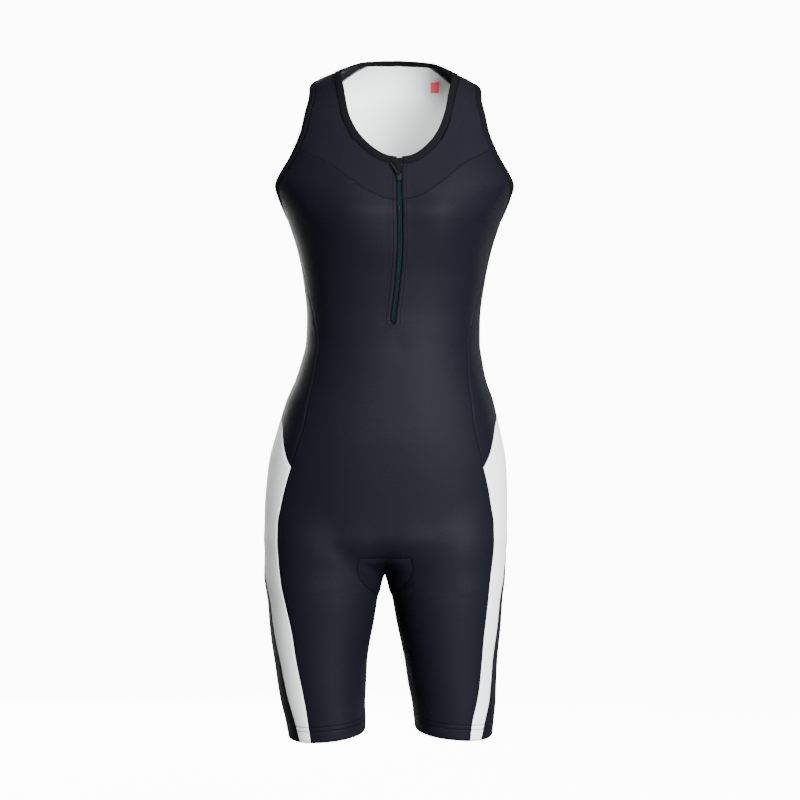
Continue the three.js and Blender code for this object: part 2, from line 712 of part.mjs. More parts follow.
// Bindings
const between = (curve, stops) => stops.flatMap(([from, to, count], i) => (
  spread(from, to, count).slice(i ? 1 : 0).map((index) => [curve.edge(index), curve.seam(index)])
));
const armBinding = between(armhole, [
  [ARM.under, ARM.yoke, ARM_FRONT_ROWS],
  [ARM.yoke, ARM.backSeam - ARMHOLE.length, NECK_ROWS],
  [ARM.backSeam - ARMHOLE.length, ARM.back - ARMHOLE.length, ARM_BACK_ROWS],
  [ARM.back - ARMHOLE.length, ARM.under - ARMHOLE.length, ARM_SIDE_ROWS],
]);
const neckBinding = between(neck, [
  [NECK.start, NECK.backSeam, NECK_ROWS],
  [NECK.backSeam, NECK.backCentre, NECK_COLUMNS],
]);
neckBinding[neckBinding.length - 1].forEach((p) => p.setX(0));

// Zip
const strip = (stops, heights) => heights.map((z) => stops.map((x) => inFront(x, z)));
const zipHeights = [
  ...yokeZip.slice(1), ...[...zipEdge].reverse().slice(1), ...frontTorso.slice(1).map((row) => row[0]),
].map((p) => p.z).filter((z) => z > SLIT_END + 1);
const zipTop = neckYoke[0].z;
const tape = strip([TAPE_INNER, TAPE_HALF], [zipTop - TAPE_SHORT, ...zipHeights, SLIT_END - TAPE_SHORT]);
const coil = strip([-COIL_HALF, 0, COIL_HALF], [COIL_TOP, zipTop, ...zipHeights, SLIT_END + COIL_SHORT]);
const label = [LABEL.low, LABEL.high].map((z) => LABEL.across.map((x) => behind(x, z)));

// The flap that parks the slider hangs from the neck edge and narrows to a tip
const FLAP = { left: -13.7, right: 3.8, tipLeft: 0.9, top: -110.5, tip: -131 };
const flap = range(4).map((t) => {
  const z = mix(FLAP.tip, FLAP.top, t);
  return range(3).map((u) => inFront(mix(mix(FLAP.tipLeft, FLAP.left, t), FLAP.right, u), z));
});

const halves = (name, patches, material, options) => [
  wall(`${name}_left`, patches, material, options),
  wall(`${name}_right`, patches.map(mirrored), material, options),
];
const whole = (name, patches, material, options) => (
  wall(name, [...patches, ...patches.map(mirrored)], material, options)
);

const BINDING = { lift: BINDING_LIFT, thickness: BINDING_WALL };
const TAPE = { lift: -WALL - LAYER_GAP, thickness: TAPE_WALL };
const FLAP_LIFT = COIL_LIFT + LAYER_GAP + FLAP_WALL;

// The slider and its pull tab, built flat with +Z out of the cloth and +Y up the zip
const SLIDER = { half: 3.9, tail: 3, length: 10, shoulder: 0.8, height: 2.4, z: -137.5 };
const SLIDER_LIFT = COIL_LIFT + LAYER_GAP;
const LUG = { half: 0.8, radius: 1.3, hole: 0.75, height: 2.1, sunk: 0.5 };
const PULL = { length: 20, half: 1.6, thickness: 1.3, turn: 33.7, tilt: 9 };
const EAR = { half: 2.1, low: -1.1, high: 3.6, neck: 5.4, slot: 1.2, notch: 2.4, pin: 0.4, pinEnd: 0.3 };
const PIVOT = { across: -1, along: 4.2, height: SLIDER.height + LUG.height };

const wasm = await Module();
wasm.setup();

function solid(geometry) {
  geometry.deleteAttribute('normal');
  geometry.deleteAttribute('uv');
  const merged = mergeVertices(geometry, 1e-4);
  return new wasm.Manifold(new wasm.Mesh({
    numProp: 3,
    vertProperties: new Float32Array(merged.attributes.position.array),
    triVerts: new Uint32Array(merged.index.array),
  }));
}

function surface(body) {
  const mesh = body.getMesh();
  const geometry = new THREE.BufferGeometry();
  geometry.setAttribute('position', new THREE.BufferAttribute(new Float32Array(mesh.vertProperties), 3));
  geometry.setIndex(new THREE.BufferAttribute(new Uint32Array(mesh.triVerts), 1));
  return geometry;
}

// Slab of a flat outline, centred on its thickness
function slab(shape, thickness) {
  const options = { depth: thickness, bevelEnabled: false, curveSegments: 6 };
  return new THREE.ExtrudeGeometry(shape, options).translate(0, 0, -thickness / 2);
}

// A frame at the pivot: +X along the pin, +Y along the pull at rest, +Z out of the cloth
const pinTurn = new THREE.Matrix4().makeRotationZ(rad(PULL.turn));
const pivotPlace = new THREE.Matrix4().makeTranslation(PIVOT.across, PIVOT.along, PIVOT.height);

function sliderGeometry() {
  const { half, tail, length, shoulder, height } = SLIDER;
  const plan = new THREE.Shape([
    [-half, length / 2], [-half, shoulder], [-tail, -length / 2],
    [tail, -length / 2], [half, shoulder], [half, length / 2],
  ].map(([x, y]) => new THREE.Vector2(x, y)));
  const plate = slab(plan, height).translate(0, 0, height / 2);
  const outline = new THREE.Shape();
  outline.moveTo(-LUG.radius, -LUG.height - LUG.sunk);
  outline.lineTo(-LUG.radius, 0);
  outline.absarc(0, 0, LUG.radius, Math.PI, 0, true);
  outline.lineTo(LUG.radius, -LUG.height - LUG.sunk);
  outline.holes.push(new THREE.Path().absarc(0, 0, LUG.hole, 0, 2 * Math.PI, false));
  const lug = slab(outline, 2 * LUG.half).rotateX(Math.PI / 2).rotateZ(Math.PI / 2);
  lug.applyMatrix4(pinTurn).applyMatrix4(pivotPlace);
  return surface(solid(plate).add(solid(lug)));
}

function pullGeometry() {
  const { length, half, thickness } = PULL;
  const outline = new THREE.Shape();
  outline.moveTo(-EAR.half, EAR.low);
  outline.lineTo(-EAR.slot, EAR.low);
  outline.lineTo(-EAR.slot, EAR.notch);
  outline.lineTo(EAR.slot, EAR.notch);
  outline.lineTo(EAR.slot, EAR.low);
  outline.lineTo(EAR.half, EAR.low);
  outline.lineTo(EAR.half, EAR.high);
  outline.lineTo(half, EAR.neck);
  outline.lineTo(half, length - half);
  outline.absarc(0, length - half, half, 0, Math.PI, false);
  outline.lineTo(-half, EAR.neck);
  outline.lineTo(-EAR.half, EAR.high);
  const tab = slab(outline, thickness);
  const across = new THREE.CylinderGeometry(EAR.pin, EAR.pin, 2 * (EAR.half - EAR.pinEnd), 10);
  across.rotateZ(Math.PI / 2);
  const body = surface(solid(tab).add(solid(across)));
  return body.rotateX(-rad(PULL.tilt)).applyMatrix4(pinTurn).applyMatrix4(pivotPlace);
}

// Places what is built flat on the zip
function onZip(geometry) {
  const seat = inFront(0, SLIDER.z);
  const out = formNormal(seat);
  const side = new THREE.Vector3(1, 0, 0);
  const place = new THREE.Matrix4().makeBasis(side, out.clone().cross(side), out);
  return geometry.applyMatrix4(place.setPosition(stand(seat).addScaledVector(out, SLIDER_LIFT)));
}

const suit = new THREE.Group();
suit.add(
  whole('front_body', [frontTorso, frontChest, frontCrotch, frontLeg], MATERIALS.black),
  ...halves('side', [sideBody, sideShoulder], MATERIALS.black),
  ...halves('hip_panel', [hipBody, hipCrotch, hipLeg], MATERIALS.white),
  whole('back_body', [backBody, backShoulder], MATERIALS.white),
  ...halves('seat', [seatBody, seatCrotch, seatLeg], MATERIALS.black),
  ...halves('yoke', [yoke], MATERIALS.charcoal),
  whole('gusset', [gusset], MATERIALS.black),
  whole('neck_binding', [neckBinding], MATERIALS.binding, BINDING),
  ...halves('armhole_binding', [armBinding], MATERIALS.binding, BINDING),
  ...halves('zip_tape', [tape], MATERIALS.binding, TAPE),
  wall('zip_coil', [coil], MATERIALS.coil, { lift: COIL_LIFT, thickness: COIL_WALL }),
  wall('zip_flap', [flap], MATERIALS.binding, { lift: FLAP_LIFT, thickness: FLAP_WALL }),
  piece('zip_slider', onZip(sliderGeometry()), MATERIALS.slider),
  piece('zip_pull', onZip(pullGeometry()), MATERIALS.slider),
  wall('neck_label', [label], MATERIALS.label, { lift: -WALL - LABEL.inset, thickness: LABEL.thickness }),
);

export default suit;
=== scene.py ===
# A sleeveless triathlon suit in its worn shape: cloth panels, bindings, half zip and sewing.
# Sizes are in millimetres on one closed form, and become metres where a mesh is made.
# The front faces -Y, the wearer's left is +X, and up is +Z.

import bmesh
import bpy
import numpy as np
from mathutils import Matrix, Vector
from mathutils.kdtree import KDTree


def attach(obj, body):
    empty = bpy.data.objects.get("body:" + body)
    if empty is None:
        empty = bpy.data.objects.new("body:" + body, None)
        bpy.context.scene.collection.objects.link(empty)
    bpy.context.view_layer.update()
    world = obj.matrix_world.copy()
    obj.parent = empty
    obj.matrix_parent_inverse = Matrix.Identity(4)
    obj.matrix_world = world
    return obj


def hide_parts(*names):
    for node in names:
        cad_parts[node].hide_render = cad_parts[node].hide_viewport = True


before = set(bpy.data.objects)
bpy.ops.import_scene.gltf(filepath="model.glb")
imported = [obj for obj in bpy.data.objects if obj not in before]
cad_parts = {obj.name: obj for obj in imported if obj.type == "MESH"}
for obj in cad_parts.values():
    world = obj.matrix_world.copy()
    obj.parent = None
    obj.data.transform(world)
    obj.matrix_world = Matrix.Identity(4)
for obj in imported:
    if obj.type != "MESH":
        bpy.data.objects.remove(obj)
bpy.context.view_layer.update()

MM = 0.001
FINE = 4

# Cloth
WALL = 1.5
TUCK = 0.5
SEAM_GAP = 0.06
ROLL = 1.4
ROLL_DROP = 0.25
BINDING_WIDTH = 10.5
BINDING_LIFT = 0.45
BINDING_WALL = 2.2
LIP_HALF = 9.3
LIP_RISE = 0.55
PAD_RISE = 1.3

# Roundness where the shoulders, the crotch floor and the legs run together
SHOULDER_ROUND = 48
SHOULDER_FALL = 0.37
FLOOR_Z = -662.5
FLOOR_ROUND = 36
LEG_TOP = -545
LEG_TOP_ROUND = 30
TORSO_POWER = 2.3
LEG_POWER = 2.2
BLEND_INSIDE, BLEND_OUTSIDE = 34, 8
BLEND_FROM, BLEND_TO = 15, 75

# Zip
SLIT_HALF = 3.8
SLIT_END = -333
SLIT_CLOSED = SLIT_END - 3.5
COIL_TOP = -112
TAPE_INNER = 0.35
TAPE_HALF = 11
LAYER_GAP = 0.6

# Seam levels
HIP_TOP = -440
CORNER_Z = -532
CORNER_X = 132
SEAT_EDGE = -545
SEAT_RISE = 45
GUSSET_TOP = -657
INSEAM_TOP = -712
HEM_Z = -897
SHOULDER_TILT = 0.02
HEM_SLOPE_Y = 0.17
HEM_SLOPE_X = 0.09
HEM_ROWS = (15.5, 21.7)
LEG_AXIS = 85
ROW_DRAW = 560

FRONT_COLUMNS = 9 * FINE
ZIP_COLUMNS = 2 * FINE
NECK_COLUMNS = 2 * FINE
YOKE_COLUMNS = FRONT_COLUMNS + ZIP_COLUMNS
BACK_COLUMNS = YOKE_COLUMNS + NECK_COLUMNS
GUSSET_COLUMNS = 3 * FINE
SIDE_COLUMNS = 4 * FINE
HIP_COLUMNS = 4 * FINE
ARM_FRONT_ROWS = 8 * FINE
ARM_SIDE_ROWS = 3 * FINE
ARM_BACK_ROWS = 8 * FINE
NECK_ROWS = 11 * FINE
LEG_ROWS = 9 * FINE


def smooth(value, start, end):
    t = np.clip((value - start) / (end - start), 0, 1)
    return t * t * (3 - 2 * t)


def mix(a, b, t):
    return a + (b - a) * t


def point(x, y, z):
    return np.stack(np.broadcast_arrays(*(np.asarray(v, float) for v in (x, y, z))), -1)


def unit(v):
    return v / np.maximum(np.linalg.norm(v, axis=-1, keepdims=True), 1e-9)


class Sections:
    """A short table read between its rows along smooth curves with no overshoot."""

    def __init__(self, names, rows):
        rows = np.array(sorted(rows), float)
        self.at = rows[:, 0]
        for column, name in enumerate(names, 1):
            setattr(self, name, self.reader(rows[:, column]))

    def reader(self, value):
        at = self.at
        rise = np.diff(value) / np.diff(at)
        slope = np.concatenate([rise[:1], np.zeros(len(at) - 2), rise[-1:]])
        same = rise[:-1] * rise[1:] > 0
        before, after = rise[:-1][same], rise[1:][same]
        slope[1:-1][same] = 2 * before * after / (before + after)

        def read(place):
            place = np.clip(place, at[0], at[-1])
            i = np.clip(np.searchsorted(at, place) - 1, 0, len(at) - 2)
            step = at[i + 1] - at[i]
            t = (place - at[i]) / step
            start = (1 + 2 * t) * (1 - t) ** 2 * value[i] + t * (1 - t) ** 2 * step * slope[i]
            end = t * t * (3 - 2 * t) * value[i + 1] + t * t * (t - 1) * step * slope[i + 1]
            return start + end

        return read


# Torso: height, half width, depth before and behind the side line
torso = Sections(("half", "front", "back"), [
    (60, 140, 62, 78),
    (-20, 143, 66, 82),
    (-60, 145, 80, 88),
    (-100, 156, 93, 92),
    (-142, 171, 104, 93),
    (-163, 161, 108, 92),
    (-184, 151, 112, 90),
    (-205, 143.5, 110, 87),
    (-232, 135, 107, 84),
    (-275, 126, 100, 79),
    (-330, 120, 95, 78),
    (-360, 120.5, 95, 80),
    (-385, 125, 97, 85),
    (-412, 132, 99, 92),
    (-440, 143, 101, 102),
    (-468, 150.7, 103, 111),
    (-495, 157.7, 104, 119),
    (-523, 163.7, 103, 126),
    (-551, 166.2, 101, 130),
    (-592, 168, 97, 128),
    (-648, 166, 92, 117),
    (-700, 160, 88, 105),
])

# The shoulders' height across the suit, before their edges are rounded
shoulder = Sections(("height",), [
    (0, 41), (20, 38.5), (41, 32), (58, 25.3), (69, 18.8),
    (80, 12.8), (92, 8), (107, 3), (130, -5), (200, -31),
])

# Leg: height, distance of its centre, half width, depth before and behind
leg = Sections(("centre", "half", "front", "back"), [
    (-545, 84, 62, 66, 84),
    (-600, 84, 76, 82, 104),
    (-640, 84.5, 82.5, 89, 108),
    (-682, 85.2, 81.6, 86, 98),
    (-717, 86.5, 76, 84, 92),
    (-745, 87.9, 72.7, 81, 87),
    (-772, 89.3, 68.5, 78, 82),
    (-800, 90, 64.3, 75, 77),
    (-828, 90, 61.6, 72, 73),
    (-855, 90.3, 58.5, 69, 68),
    (-883, 88.6, 55.4, 66, 64),
    (-920, 87.5, 51.5, 62, 60),
])

# The stance: how far the middle of the suit leans aside at each height
stance = Sections(("aside",), [
    (0, 2), (-140, 0.7), (-232, 0.7), (-329, -0.7), (-357, -1.4), (-412, -4.4), (-468, -6.9),
    (-523, -9), (-592, -11.1), (-650, -12), (-690, -13), (-720, -12.4), (-772, -12), (-828, -9.8),
    (-883, -5.8), (-905, -4.8),
])

# How far the centre front is drawn aside
twist = Sections(("aside",), [
    (30, 5), (0, 3.5), (-48, 3.3), (-72, 5), (-105, 6.5), (-140, 6.3), (-220, 7.6), (-300, 2.5),
    (-330, -0.7), (-345, 0),
])

# How far the cloth at the front of the thighs is drawn over to the left
drawn = Sections(("aside",), [
    (-600, 0), (-660, 2.8), (-690, 3.5), (-717, 5.5), (-772, 7.6), (-828, 7.3), (-855, 5.2), (-883, 1),
    (-900, 0),
])
DRAWN = {"x": 125, "wide": 48, "front": 25}

# Darted fullness of the bust and of the seat: place, spread and depth
BUST = {"x": 66, "z": -190, "wide": 46, "tall": 52, "depth": 10}
SEAT = {"x": 75, "z": -575, "wide": 50, "tall": 60, "depth": 8}


def fullness(dart, across, height):
    aside = (across - dart["x"]) / dart["wide"]
    above = (height - dart["z"]) / dart["tall"]
    return dart["depth"] * np.exp(-aside ** 2 - above ** 2)


def section_distance(x, y, half, depth, power):
    u = np.abs(x) / half
    v = np.abs(y) / depth
    size = np.maximum((u ** power + v ** power) ** (1 / power), 0.02)
    slope = np.hypot(u ** (power - 1) / half, v ** (power - 1) / depth) * size ** (1 - power)
    return (size - 1) / np.maximum(slope, 1 / np.maximum(half, depth))


def round_max(a, b, radius):
    both = (a > -radius) & (b > -radius)
    return np.where(both, np.hypot(a + radius, b + radius) - radius, np.maximum(a, b))


def soft_min(a, b, width):
    share = np.maximum(width - np.abs(a - b), 0) / width
    return np.minimum(a, b) - share * share * width / 4


def form(p):
    """Negative inside the worn form and zero on the outer face of the cloth."""
    across, y, z = np.abs(p[..., 0]), p[..., 1], p[..., 2]
    ahead = y < 0
    before = torso.front(z) + fullness(BUST, across, z)
    behind_it = torso.back(z) + fullness(SEAT, across, z)
    trunk = section_distance(across, y, torso.half(z), np.where(ahead, before, behind_it), TORSO_POWER)
    roof = (z - shoulder.height(across)) / np.hypot(1, SHOULDER_FALL)
    body = round_max(round_max(trunk, roof, SHOULDER_ROUND), FLOOR_Z - z, FLOOR_ROUND)
    depth = np.where(ahead, leg.front(z), leg.back(z))
    tube = section_distance(across - leg.centre(z), y, leg.half(z), depth, LEG_POWER)
    capped = round_max(tube, z - LEG_TOP, LEG_TOP_ROUND)
    width = mix(BLEND_INSIDE, BLEND_OUTSIDE, smooth(across, BLEND_FROM, BLEND_TO))
    return np.where(z > LEG_TOP + 2 * LEG_TOP_ROUND, body, soft_min(body, capped, width))


def form_normal(p):
    e = 0.2
    slopes = [form(p + e * axis) - form(p - e * axis) for axis in np.eye(3)]
    return unit(np.stack(slopes, -1))


def settle(p):
    """Moves points that are near the form onto it."""
    for _ in range(20):
        distance = form(p)
        if np.abs(distance).max() < 1e-3:
            break
        p = p - form_normal(p) * np.clip(distance, -12, 12)[..., None] * 0.9
    return p


def leave(start, along, reach):
    """Where each straight way from inside the form leaves it."""
    inside = np.zeros(start.shape[:-1])
    outside = np.broadcast_to(reach, inside.shape).astype(float)
    for _ in range(34):
        middle = (inside + outside) / 2
        within = form(start + along * middle[..., None]) < 0
        inside = np.where(within, middle, inside)
        outside = np.where(within, outside, middle)
    return start + along * inside[..., None]


def axis_offset(z):
    return LEG_AXIS * smooth(-z, 530, 650)


def at(z, turn):
    """The form's point at a height and a turn from straight ahead, in degrees."""
    z, turn = np.broadcast_arrays(np.asarray(z, float), np.asarray(turn, float))
    axis = axis_offset(z)
    along = point(np.sin(np.radians(turn)), -np.cos(np.radians(turn)), 0)
    inward = np.minimum(along[..., 0], -1e-6)
    reach = np.where(along[..., 0] < -1e-6, np.minimum(300, axis / -inward * 0.9999), 300)
    return leave(point(axis, 0, z), along, reach)


def turn_of(p):
    turn = np.degrees(np.arctan2(p[..., 0] - axis_offset(p[..., 2]), -p[..., 1]))
    return np.where(turn < -90.001, turn + 360, turn)


def in_front(x, z):
    return leave(point(x, 0, z), np.array([0.0, -1.0, 0.0]), 200)


def behind(x, z):
    return leave(point(x, 0, z), np.array([0.0, 1.0, 0.0]), 200)


def turn_at_x(z, x):
    return turn_of(in_front(x, z))


def turn_at_x_behind(z, x):
    return turn_of(behind(x, z))


class Opening:
    """An opening's free edge, and the seam a binding's width away from it."""

    def __init__(self, rows, away):
        self.rows = settle(np.array(rows, float))
        self.away = np.array(away, float)

    def curve(self, index):
        rows, count = self.rows, len(self.rows)
        index = np.mod(np.asarray(index, float), count)
        i = np.floor(index).astype(int)
        t = (index - i)[..., None]
        p = [rows[(i + step) % count] for step in (-1, 0, 1, 2)]
        gap = [np.linalg.norm(p[k + 1] - p[k], axis=-1)[..., None] ** 0.5 for k in range(3)]
        start = (p[1] - p[0]) / gap[0] - (p[2] - p[0]) / (gap[0] + gap[1]) + (p[2] - p[1]) / gap[1]
        end = (p[2] - p[1]) / gap[1] - (p[3] - p[1]) / (gap[1] + gap[2]) + (p[3] - p[2]) / gap[2]
        start, end = start * gap[1], end * gap[1]
        square = -3 * p[1] + 3 * p[2] - 2 * start - end
        cube = 2 * p[1] - 2 * p[2] + start + end
        return p[1] + start * t + square * t ** 2 + cube * t ** 3

    def edge(self, index):
        return settle(self.curve(index))

    def seam(self, index):
        index = np.asarray(index, float)
        here = self.edge(index)
        along = self.edge(index + 0.02) - self.edge(index - 0.02)
        inward = unit(np.cross(form_normal(here), along))
        wrong = (inward * (here - self.away)).sum(-1, keepdims=True) < 0
        return settle(here + np.where(wrong, -inward, inward) * BINDING_WIDTH)


# Armhole: x, y, z, from the shoulder down the front, under the arm and up the back
ARMHOLE = [
    (117, 8, -3),
    (119, -18, -12),
    (118, -33, -30),
    (125, -42, -64),
    (138, -46, -94),
    (157, -45, -122),
    (164.5, -38, -140),
    (163, -24, -158),
    (156, -5, -174),
    (151, 14, -182),
    (149, 34, -176),
    (147, 48, -158),
    (141, 56, -130),
    (130, 60, -95),
    (121, 58, -60),
    (117, 46, -30),
    (116, 28, -11),
]
armhole = Opening(ARMHOLE, (220, 5, -90))
ARM_YOKE, ARM_UNDER, ARM_BACK, ARM_BACK_SEAM = 4, 9, 11, 15
ARM_TURNS = len(ARMHOLE)

# Neck: x, y, z of one half, from the centre front to the centre back
NECK_HALF = [
    (0, -88, -110),
    (18.5, -87, -107),
    (35.5, -82, -96),
    (52.2, -74, -76.5),
    (63.3, -64, -52),
    (67.7, -42, -17),
    (68.5, -20, 2),
    (64, 3, 20),
    (55.5, 26, 26.8),
    (44, 40, 31.5),
    (22, 52, 33),
    (0, 55, 33.5),
]
neck = Opening(NECK_HALF + [(-x, y, z) for x, y, z in NECK_HALF[-2:0:-1]], (0, -10, 60))
NECK_BACK_SEAM = 9.3
NECK_BACK_CENTRE = len(NECK_HALF) - 1


def neck_start():
    """Where the neck seam reaches the slit."""
    low, high = 0.0, 1.0
    for _ in range(24):
        middle = (low + high) / 2
        if neck.seam(middle)[0] < SLIT_HALF:
            low = middle
        else:
            high = middle
    return high


NECK_START = neck_start()


def spread(start, end, count):
    return np.linspace(start, end, count + 1)


arm_front = armhole.seam(spread(ARM_UNDER, ARM_YOKE, ARM_FRONT_ROWS))
arm_yoke = armhole.seam(spread(ARM_YOKE, ARM_BACK_SEAM - ARM_TURNS, NECK_ROWS))
arm_back = armhole.seam(spread(ARM_BACK, ARM_BACK_SEAM, ARM_BACK_ROWS))
arm_side = armhole.seam(spread(ARM_UNDER, ARM_BACK, ARM_SIDE_ROWS))
neck_yoke = neck.seam(spread(NECK_START, NECK_BACK_SEAM, NECK_ROWS))
neck_back = neck.seam(spread(NECK_BACK_SEAM, NECK_BACK_CENTRE, NECK_COLUMNS))
underarm = arm_side[0]
side_top = arm_side[-1]


# Seams, as a turn from straight ahead or as a distance from the centre
def turns_of(rows):
    return [(z, float(turn_at_x(z, x))) for z, x in rows]


princess = Sections(("turn",), [
    (underarm[2], float(turn_of(underarm))), (-232, 94),
    *turns_of([(-272, 122.5), (-301, 116), (-323, 110), (-354, 104), (-392, 105), (-430, 109.5)]),
    *turns_of([(-467, 115.5), (-490, 121), (CORNER_Z, CORNER_X)]),
])
side_back = Sections(("turn",), [
    (side_top[2], float(turn_of(side_top))), (-200, 118), (-250, 125), (-300, 127), (-350, 122),
    (-400, 112), (HIP_TOP, 98), (-455, 90),
    *turns_of([(-476, 146.7), (-498, 144), (-515, 140), (-525, 136), (CORNER_Z, CORNER_X)]),
])
hip_front = Sections(("x",), [
    (CORNER_Z, CORNER_X), (-560, 139.5), (-590, 145.3), (-608, 148.5), (-634, 149), (-660, 147),
    (-687, 144), (-715, 140), (-762, 132.3), (-800, 127.8), (-838, 121.9), (-888, 112), (-920, 108),
])
hip_back = Sections(("turn",), [
    (HIP_TOP, 98), (-500, 106), (SEAT_EDGE, 106), (-580, 95), (-613, 87), (-660, 76), (-715, 66.5),
    (-762, 61.5), (-800, 56.5), (-838, 53), (-888, 43.5), (-920, 37),
])
yoke_seam = Sections(("z",), [
    (SLIT_HALF, -167.5), (20, -164.5), (36, -157.5), (61, -141), (91, -117.5),
    (arm_front[-1][0], arm_front[-1][2]),
])

# Gusset: height, then half width in front and behind
gusset_edge = Sections(("front", "back"), [
    (GUSSET_TOP, 35, 33), (-669, 38, 34), (-682, 35, 31), (-693, 27, 24), (-703, 17, 16),
])
GUSSET_STOPS = np.array([GUSSET_TOP, -669, -682, -693, -703], float)
gusset_turn = Sections(("front", "back"), [
    *zip(
        GUSSET_STOPS,
        turn_at_x(GUSSET_STOPS, gusset_edge.front(GUSSET_STOPS)),
        turn_at_x_behind(GUSSET_STOPS, gusset_edge.back(GUSSET_STOPS)),
    ),
    (INSEAM_TOP, -90, 270),
])


def levels(*stops):
    rows = [spread(start, end, count * FINE) for start, end, count in stops]
    return np.concatenate([rows[0], *(row[1:] for row in rows[1:])])


TORSO_LEVELS = levels(
    (underarm[2], SLIT_END, 7),
    (SLIT_END, SLIT_CLOSED, 1),
    (SLIT_CLOSED, HIP_TOP, 5),
    (HIP_TOP, CORNER_Z, 5),
    (CORNER_Z, SEAT_EDGE, 1),
    (SEAT_EDGE, GUSSET_TOP, 6),
)
GUSSET_LEVELS = levels(
    (GUSSET_TOP, -669, 1), (-669, -682, 1), (-682, -693, 1), (-693, -703, 1), (-703, INSEAM_TOP, 1)
)


def front_inner(z):
    """The centre plane, or the slit's edge above its end."""
    slit = SLIT_HALF * np.sqrt(np.clip((z - SLIT_CLOSED) / (SLIT_END - SLIT_CLOSED), 0, 1))
    return in_front(slit, z)


def front_rows(z, outer):
    """Rows of the front, drawn towards the gusset's corner as they near the gusset."""
    first = front_inner(z)
    inner = turn_of(first)[:, None]
    outer = outer[:, None]
    share = GUSSET_COLUMNS / FRONT_COLUMNS
    drawn = turn_at_x(z, gusset_edge.front(z))[:, None]
    knot = mix(mix(inner, outer, share), drawn, smooth(-z, ROW_DRAW, -GUSSET_TOP)[:, None])
    u = spread(0, 1, FRONT_COLUMNS)[None, :]
    turn = np.where(u < share, mix(inner, knot, u / share), mix(knot, outer, (u - share) / (1 - share)))
    rows = at(z[:, None], turn)
    rows[:, 0] = first
    return rows


def seat_rise(z):
    """How much higher than at its sides the back's row lies at its middle."""
    above = smooth(-z, 400, -SEAT_EDGE)
    below = 1 - smooth(-z, -SEAT_EDGE, 655)
    return SEAT_RISE * np.where(z > SEAT_EDGE, above, below)


def back_rows(edge_z, outer):
    share = GUSSET_COLUMNS / BACK_COLUMNS
    draw = smooth(-edge_z, ROW_DRAW, -GUSSET_TOP)[:, None]
    v = spread(0, 1, BACK_COLUMNS)[None, :]
    z = edge_z[:, None] + seat_rise(edge_z)[:, None] * np.sin(np.radians(90 * v)) ** 2
    inner = turn_of(behind(0.001, z))
    outer = outer[:, None]
    drawn = turn_at_x_behind(z, gusset_edge.back(z))
    knot = mix(mix(outer, inner, 1 - share), drawn, draw)
    near = mix(knot, inner, (v - 1 + share) / share)
    far = mix(outer, knot, v / (1 - share))
    rows = at(z, np.where(v > 1 - share, near, far))
    rows[:, -1] = behind(0, z[:, -1])
    return rows


def side_rows(z, start, end, count):
    return at(z[:, None], mix(start[:, None], end[:, None], spread(0, 1, count)[None, :]))


def leg_level(share, turn):
    """The hem's height round the leg, or a level part of the way down to it."""
    foot = at(HEM_Z, turn)
    hem = HEM_Z + HEM_SLOPE_Y * foot[..., 1] - HEM_SLOPE_X * (foot[..., 0] - LEG_AXIS - 3)
    return mix(INSEAM_TOP, hem, share)


def leg_edge(share, turn_at):
    z = mix(INSEAM_TOP, HEM_Z, share)
    for _ in range(6):
        z = leg_level(share, turn_at(z))
    return turn_at(z)


def leg_rows(share, start, end, count):
    turn = mix(start[:, None], end[:, None], spread(0, 1, count)[None, :])
    return at(leg_level(share[:, None], turn), turn)


def fill(bottom, top, left, right):
    """Fills the space between four edges with points of the form."""
    v = spread(0, 1, len(left) - 1)[:, None, None]
    u = spread(0, 1, len(bottom) - 1)[None, :, None]
    p = bottom[None] * (1 - v) + top[None] * v + left[:, None] * (1 - u) + right[:, None] * u
    p -= bottom[0] * (1 - u) * (1 - v) + bottom[-1] * u * (1 - v) + top[0] * (1 - u) * v + top[-1] * u * v
    p = settle(p)
    p[0], p[-1] = bottom, top
    p[1:-1, 0], p[1:-1, -1] = left[1:-1], right[1:-1]
    return p


# The half patches, on the wearer's left
def stripe_turn(z):
    return turn_at_x(z, hip_front.x(z))


front_torso = front_rows(
    TORSO_LEVELS, np.where(TORSO_LEVELS > CORNER_Z, princess.turn(TORSO_LEVELS), stripe_turn(TORSO_LEVELS))
)
front_torso[0, -1] = underarm
zip_edge = in_front(SLIT_HALF, spread(underarm[2], yoke_seam.z(SLIT_HALF), ARM_FRONT_ROWS))
yoke_x = spread(SLIT_HALF, arm_front[-1][0], FRONT_COLUMNS)
yoke_bottom = in_front(yoke_x, yoke_seam.z(yoke_x))
yoke_bottom[-1] = arm_front[-1]
front_chest = fill(front_torso[0], yoke_bottom, zip_edge, arm_front)
front_crotch = side_rows(
    GUSSET_LEVELS, gusset_turn.front(GUSSET_LEVELS), stripe_turn(GUSSET_LEVELS),
    FRONT_COLUMNS - GUSSET_COLUMNS,
)
LEG_SHARES = spread(0, 1, LEG_ROWS)
inseam = np.full(len(LEG_SHARES), -90.0)
stripe_edge = leg_edge(LEG_SHARES, stripe_turn)
seat_edge_turn = leg_edge(LEG_SHARES, hip_back.turn)
front_leg = leg_rows(LEG_SHARES, inseam, stripe_edge, FRONT_COLUMNS - GUSSET_COLUMNS)
front_crotch[0] = front_torso[-1, GUSSET_COLUMNS:]
front_leg[0] = front_crotch[-1]

side_levels = TORSO_LEVELS[TORSO_LEVELS >= CORNER_Z - 1e-6]
side_body = side_rows(side_levels, princess.turn(side_levels), side_back.turn(side_levels), SIDE_COLUMNS)
side_body[0, 0] = underarm
side_shoulder = side_rows(arm_side[:, 2], turn_of(arm_side), side_back.turn(arm_side[:, 2]), SIDE_COLUMNS)
side_shoulder[:, 0] = arm_side
side_shoulder[0] = side_body[0]
side_shoulder[-1] = side_top

